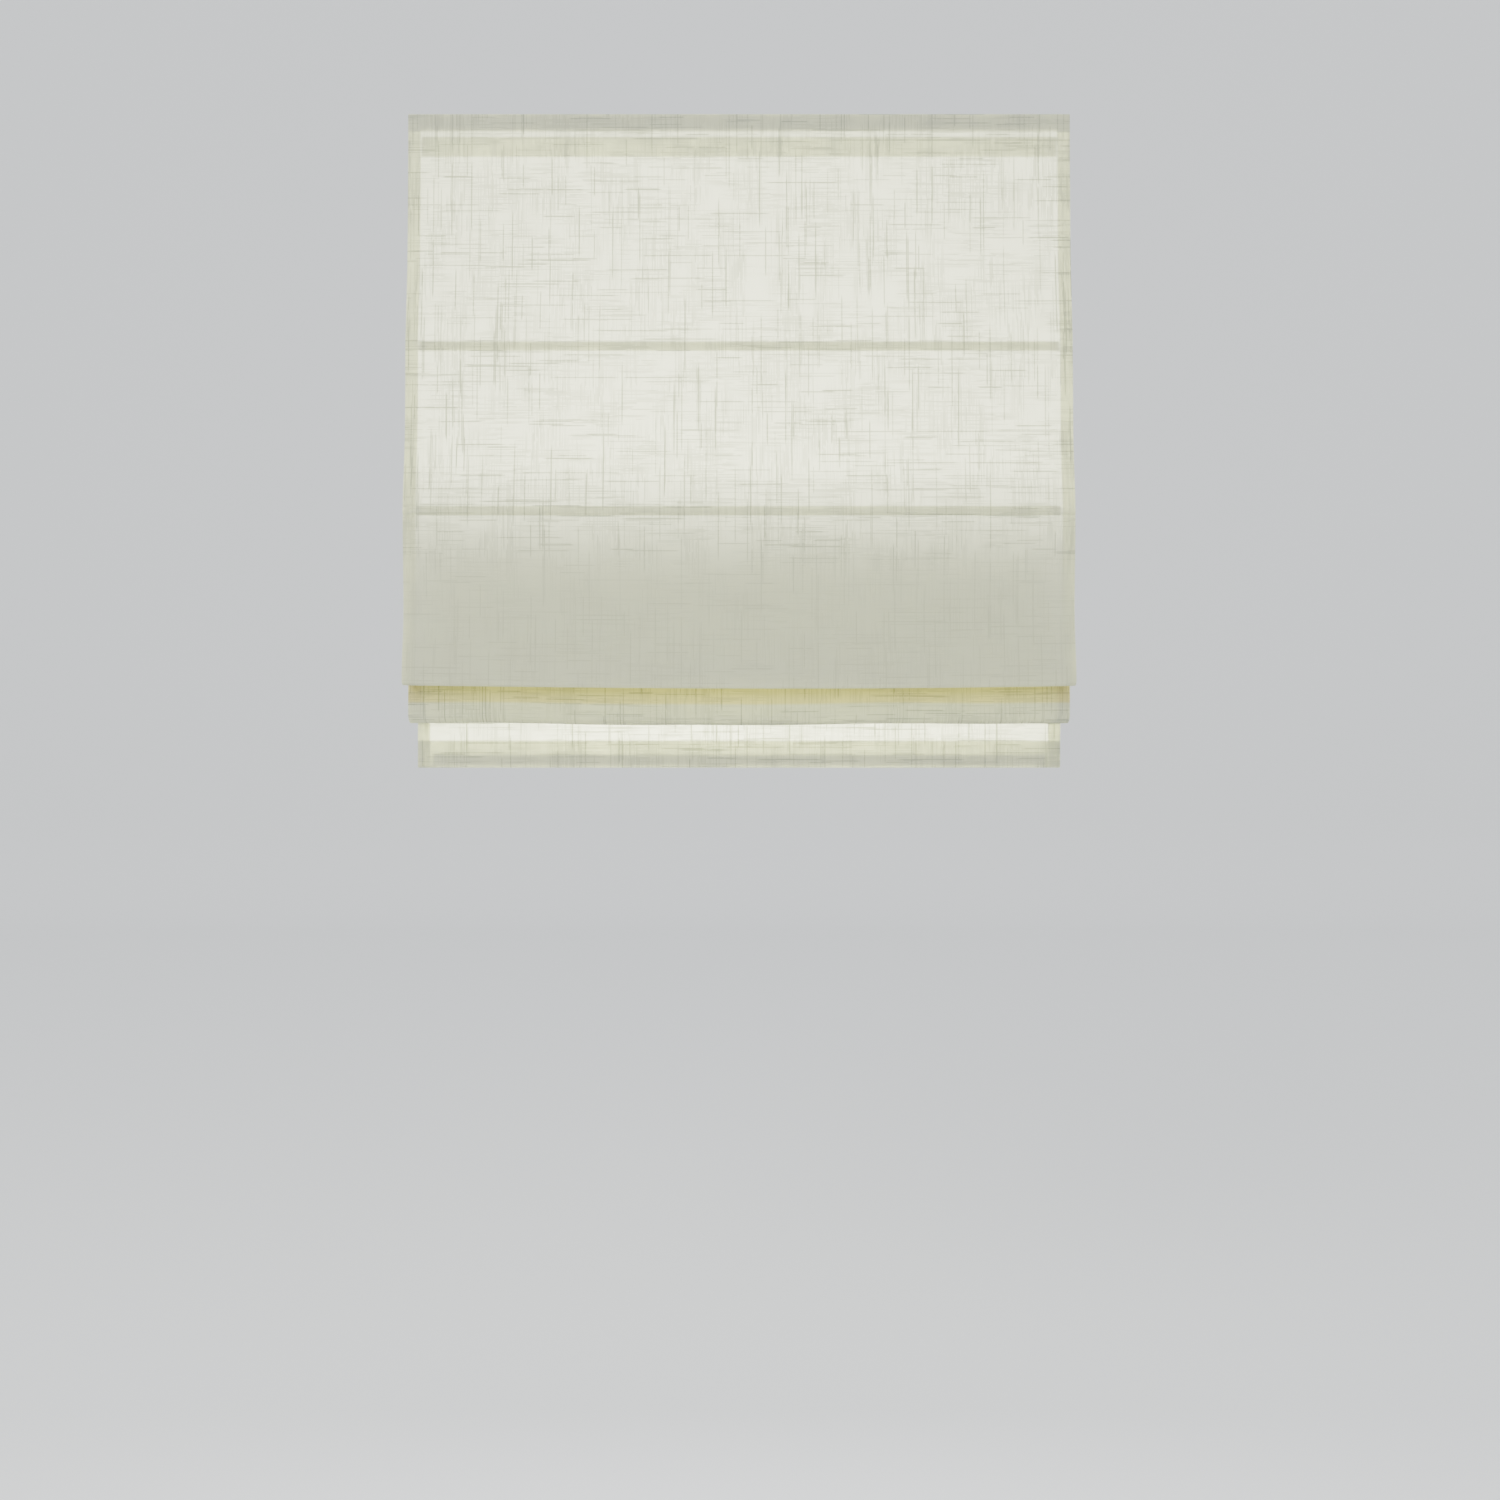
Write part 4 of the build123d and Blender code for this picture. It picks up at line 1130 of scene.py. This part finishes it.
def rod_material(group):
    """A glass fibre rod, which lets some light through."""
    material = surface_material(group, "Glass fibre rod", (0.80, 0.81, 0.72), 0.34, tone=0.10,
                                streak=(0.05, 1, 1))
    let_through(material.node_tree, 0.7, (0.95, 0.96, 0.88, 1))
    return material


def painted_shade_stretch():
    """Where along the second sheet's length it comes out from under the front fold: the stretch
    that gets painted shade.
    """
    side = fold_two_side(rise_one_side().lengths[-1])
    near = [length for (y, z), length in zip(side.points, side.lengths)
            if y < FOLD_TWO_FRONT + 6 * MM and FOLD_ONE_LOW - 22 * MM < z < FOLD_ONE_LOW]
    return min(near), max(near)


def dress(piece, material):
    piece.data.materials.clear()
    piece.data.materials.append(material)


def cord_material():
    """Braided cord: two sets of strands crossing round it, with painted shade in the grooves
    between them, on a UV map in metres.
    """
    strand_pitch, strand_slope = 0.94 * MM, 0.6
    # The darker colour between the strands is painted shade in the braid's grooves.
    between, strand_colour = (0.56, 0.56, 0.53), (0.86, 0.86, 0.83)
    material, tree, shader = blank_material("Braided cord")
    around, along = parted(tree, uv_socket(tree))
    waves = []
    for lean in (1.0, -1.0):
        both = maths(tree, "MULTIPLY", along, strand_slope)
        both = maths(tree, "MULTIPLY_ADD", around, lean, both)
        waves.append(maths(tree, "SINE", maths(tree, "MULTIPLY", both, 2 * math.pi / strand_pitch)))
    braid = maths(tree, "MAXIMUM", *waves)
    lit = maths(tree, "MULTIPLY_ADD", braid, 0.5, 0.5, clamp=True)
    fill(tree, shader, {"Base Color": blended(tree, lit, between, strand_colour),
                        "Normal": bump(tree, braid, 0.5, 0.08 * MM), "Roughness": 0.75})
    return material


class BLIND_OT_studio(bpy.types.Operator):
    """Sets the camera, a plain pale floor and backdrop, and soft lights in front and behind"""

    bl_idname = "blind.studio"
    bl_label = "Studio"

    def execute(self, context):
        scene = context.scene
        middle_z = (TOP + low("cloth_bottom")[2]) / 2
        distance, camera_z = 1.5, -0.759
        camera_data = bpy.data.cameras.new("camera")
        camera_data.sensor_width = 36
        camera_data.lens = 30.25
        camera_data.shift_x = 0.0073
        camera = bpy.data.objects.new("camera", camera_data)
        camera.location = (0, HEAD_Y - distance, camera_z)
        camera.rotation_euler = (math.pi / 2, 0, 0)
        scene.collection.objects.link(camera)
        scene.camera = camera
        backdrop = cyclorama(floor_z=-1.75, back_y=6.0, half_width=12.0, front_y=-8.0)
        paint, tree, shader = blank_material("Backdrop")
        fill(tree, shader, {"Base Color": rgba(colours().backdrop), "Roughness": 0.9,
                            "Specular IOR Level": 0.1})
        dress(backdrop, paint)
        backdrop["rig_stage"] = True
        world = bpy.data.worlds.new("studio")
        world.use_nodes = True
        fill(world.node_tree, world.node_tree.nodes["Background"],
             {"Color": (0.93, 0.96, 1.0, 1), "Strength": 1.25})
        scene.world = world
        middle, hem = (0, 0, middle_z), (0, 0, BOTTOM_Z + 35 * MM)
        sky, warm, cool = (0.97, 0.98, 1.0), (1.0, 0.99, 0.97), (0.95, 0.97, 1.0)
        area_light("behind", (0, 0.42, middle_z - 0.02), middle, 1.1, 1.2, 31, sky)
        area_light("behind_low", (0, 0.30, BOTTOM_Z - 30 * MM), hem, 0.8, 0.16, 9, sky)
        area_light("front_left", (-1.5, -2.2, 0.9), middle, 1.6, 1.6, 62, warm)
        area_light("front_right", (1.9, -2.0, 0.7), middle, 1.4, 1.4, 22, cool)
        return {"FINISHED"}


def area_light(name, place, aim, width, height, power, colour):
    """A soft rectangular light that the camera doesn't see, aimed at a point."""
    data = bpy.data.lights.new(name, "AREA")
    data.shape = "RECTANGLE"
    data.size = width
    data.size_y = height
    data.energy = power
    data.color = colour
    light = bpy.data.objects.new(name, data)
    light.location = place
    light.rotation_euler = (Vector(aim) - Vector(place)).to_track_quat("-Z", "Y").to_euler()
    light.visible_camera = False
    bpy.context.scene.collection.objects.link(light)


def cyclorama(floor_z, back_y, half_width, front_y, bend=0.6, wall=9.0, steps=12):
    """A floor that curves up into a backdrop."""
    profile = [(front_y, floor_z)]
    for i in range(steps + 1):
        angle = -math.pi / 2 + math.pi / 2 * i / steps
        profile.append((back_y - bend + bend * math.cos(angle),
                        floor_z + bend + bend * math.sin(angle)))
    profile.append((back_y, floor_z + wall))
    mesh = bmesh.new()
    rows = [[mesh.verts.new((x, y, z)) for x in (-half_width, half_width)] for y, z in profile]
    for lower, upper in zip(rows, rows[1:]):
        face = mesh.faces.new((lower[0], lower[1], upper[1], upper[0]))
        face.smooth = True
    return mesh_piece("backdrop", mesh)


class BLIND_PT_panel(bpy.types.Panel):
    """The blind's pieces, in the order they are made"""

    bl_idname = "BLIND_PT_panel"
    bl_label = "Roman blind"
    bl_space_type = "VIEW_3D"
    bl_region_type = "UI"
    bl_category = "Roman blind"

    def draw(self, context):
        for operator in OPERATORS:
            self.layout.operator(operator.bl_idname)
        for settings in (context.scene.blind_sheet, context.scene.blind_colours):
            for name in settings.__annotations__:
                self.layout.prop(settings, name)


OPERATORS = (BLIND_OT_studio, BLIND_OT_front_cloth, BLIND_OT_second_cloth, BLIND_OT_bottom_cloth,
             BLIND_OT_sleeves, BLIND_OT_lift_cords, BLIND_OT_finishes)
CLASSES = (BlindSheetSettings, BlindColourSettings, *OPERATORS, BLIND_PT_panel)


def register():
    for item in CLASSES:
        bpy.utils.register_class(item)
    bpy.types.Scene.blind_sheet = bpy.props.PointerProperty(type=BlindSheetSettings)
    bpy.types.Scene.blind_colours = bpy.props.PointerProperty(type=BlindColourSettings)


def unregister():
    del bpy.types.Scene.blind_sheet
    del bpy.types.Scene.blind_colours
    for item in reversed(CLASSES):
        bpy.utils.unregister_class(item)


def main():
    register()
    bpy.ops.blind.studio()
    bpy.ops.blind.front_cloth()
    bpy.ops.blind.second_cloth()
    bpy.ops.blind.bottom_cloth()
    bpy.ops.blind.sleeves()
    bpy.ops.blind.lift_cords()
    bpy.ops.blind.finishes()


if __name__ == "__main__":
    main()
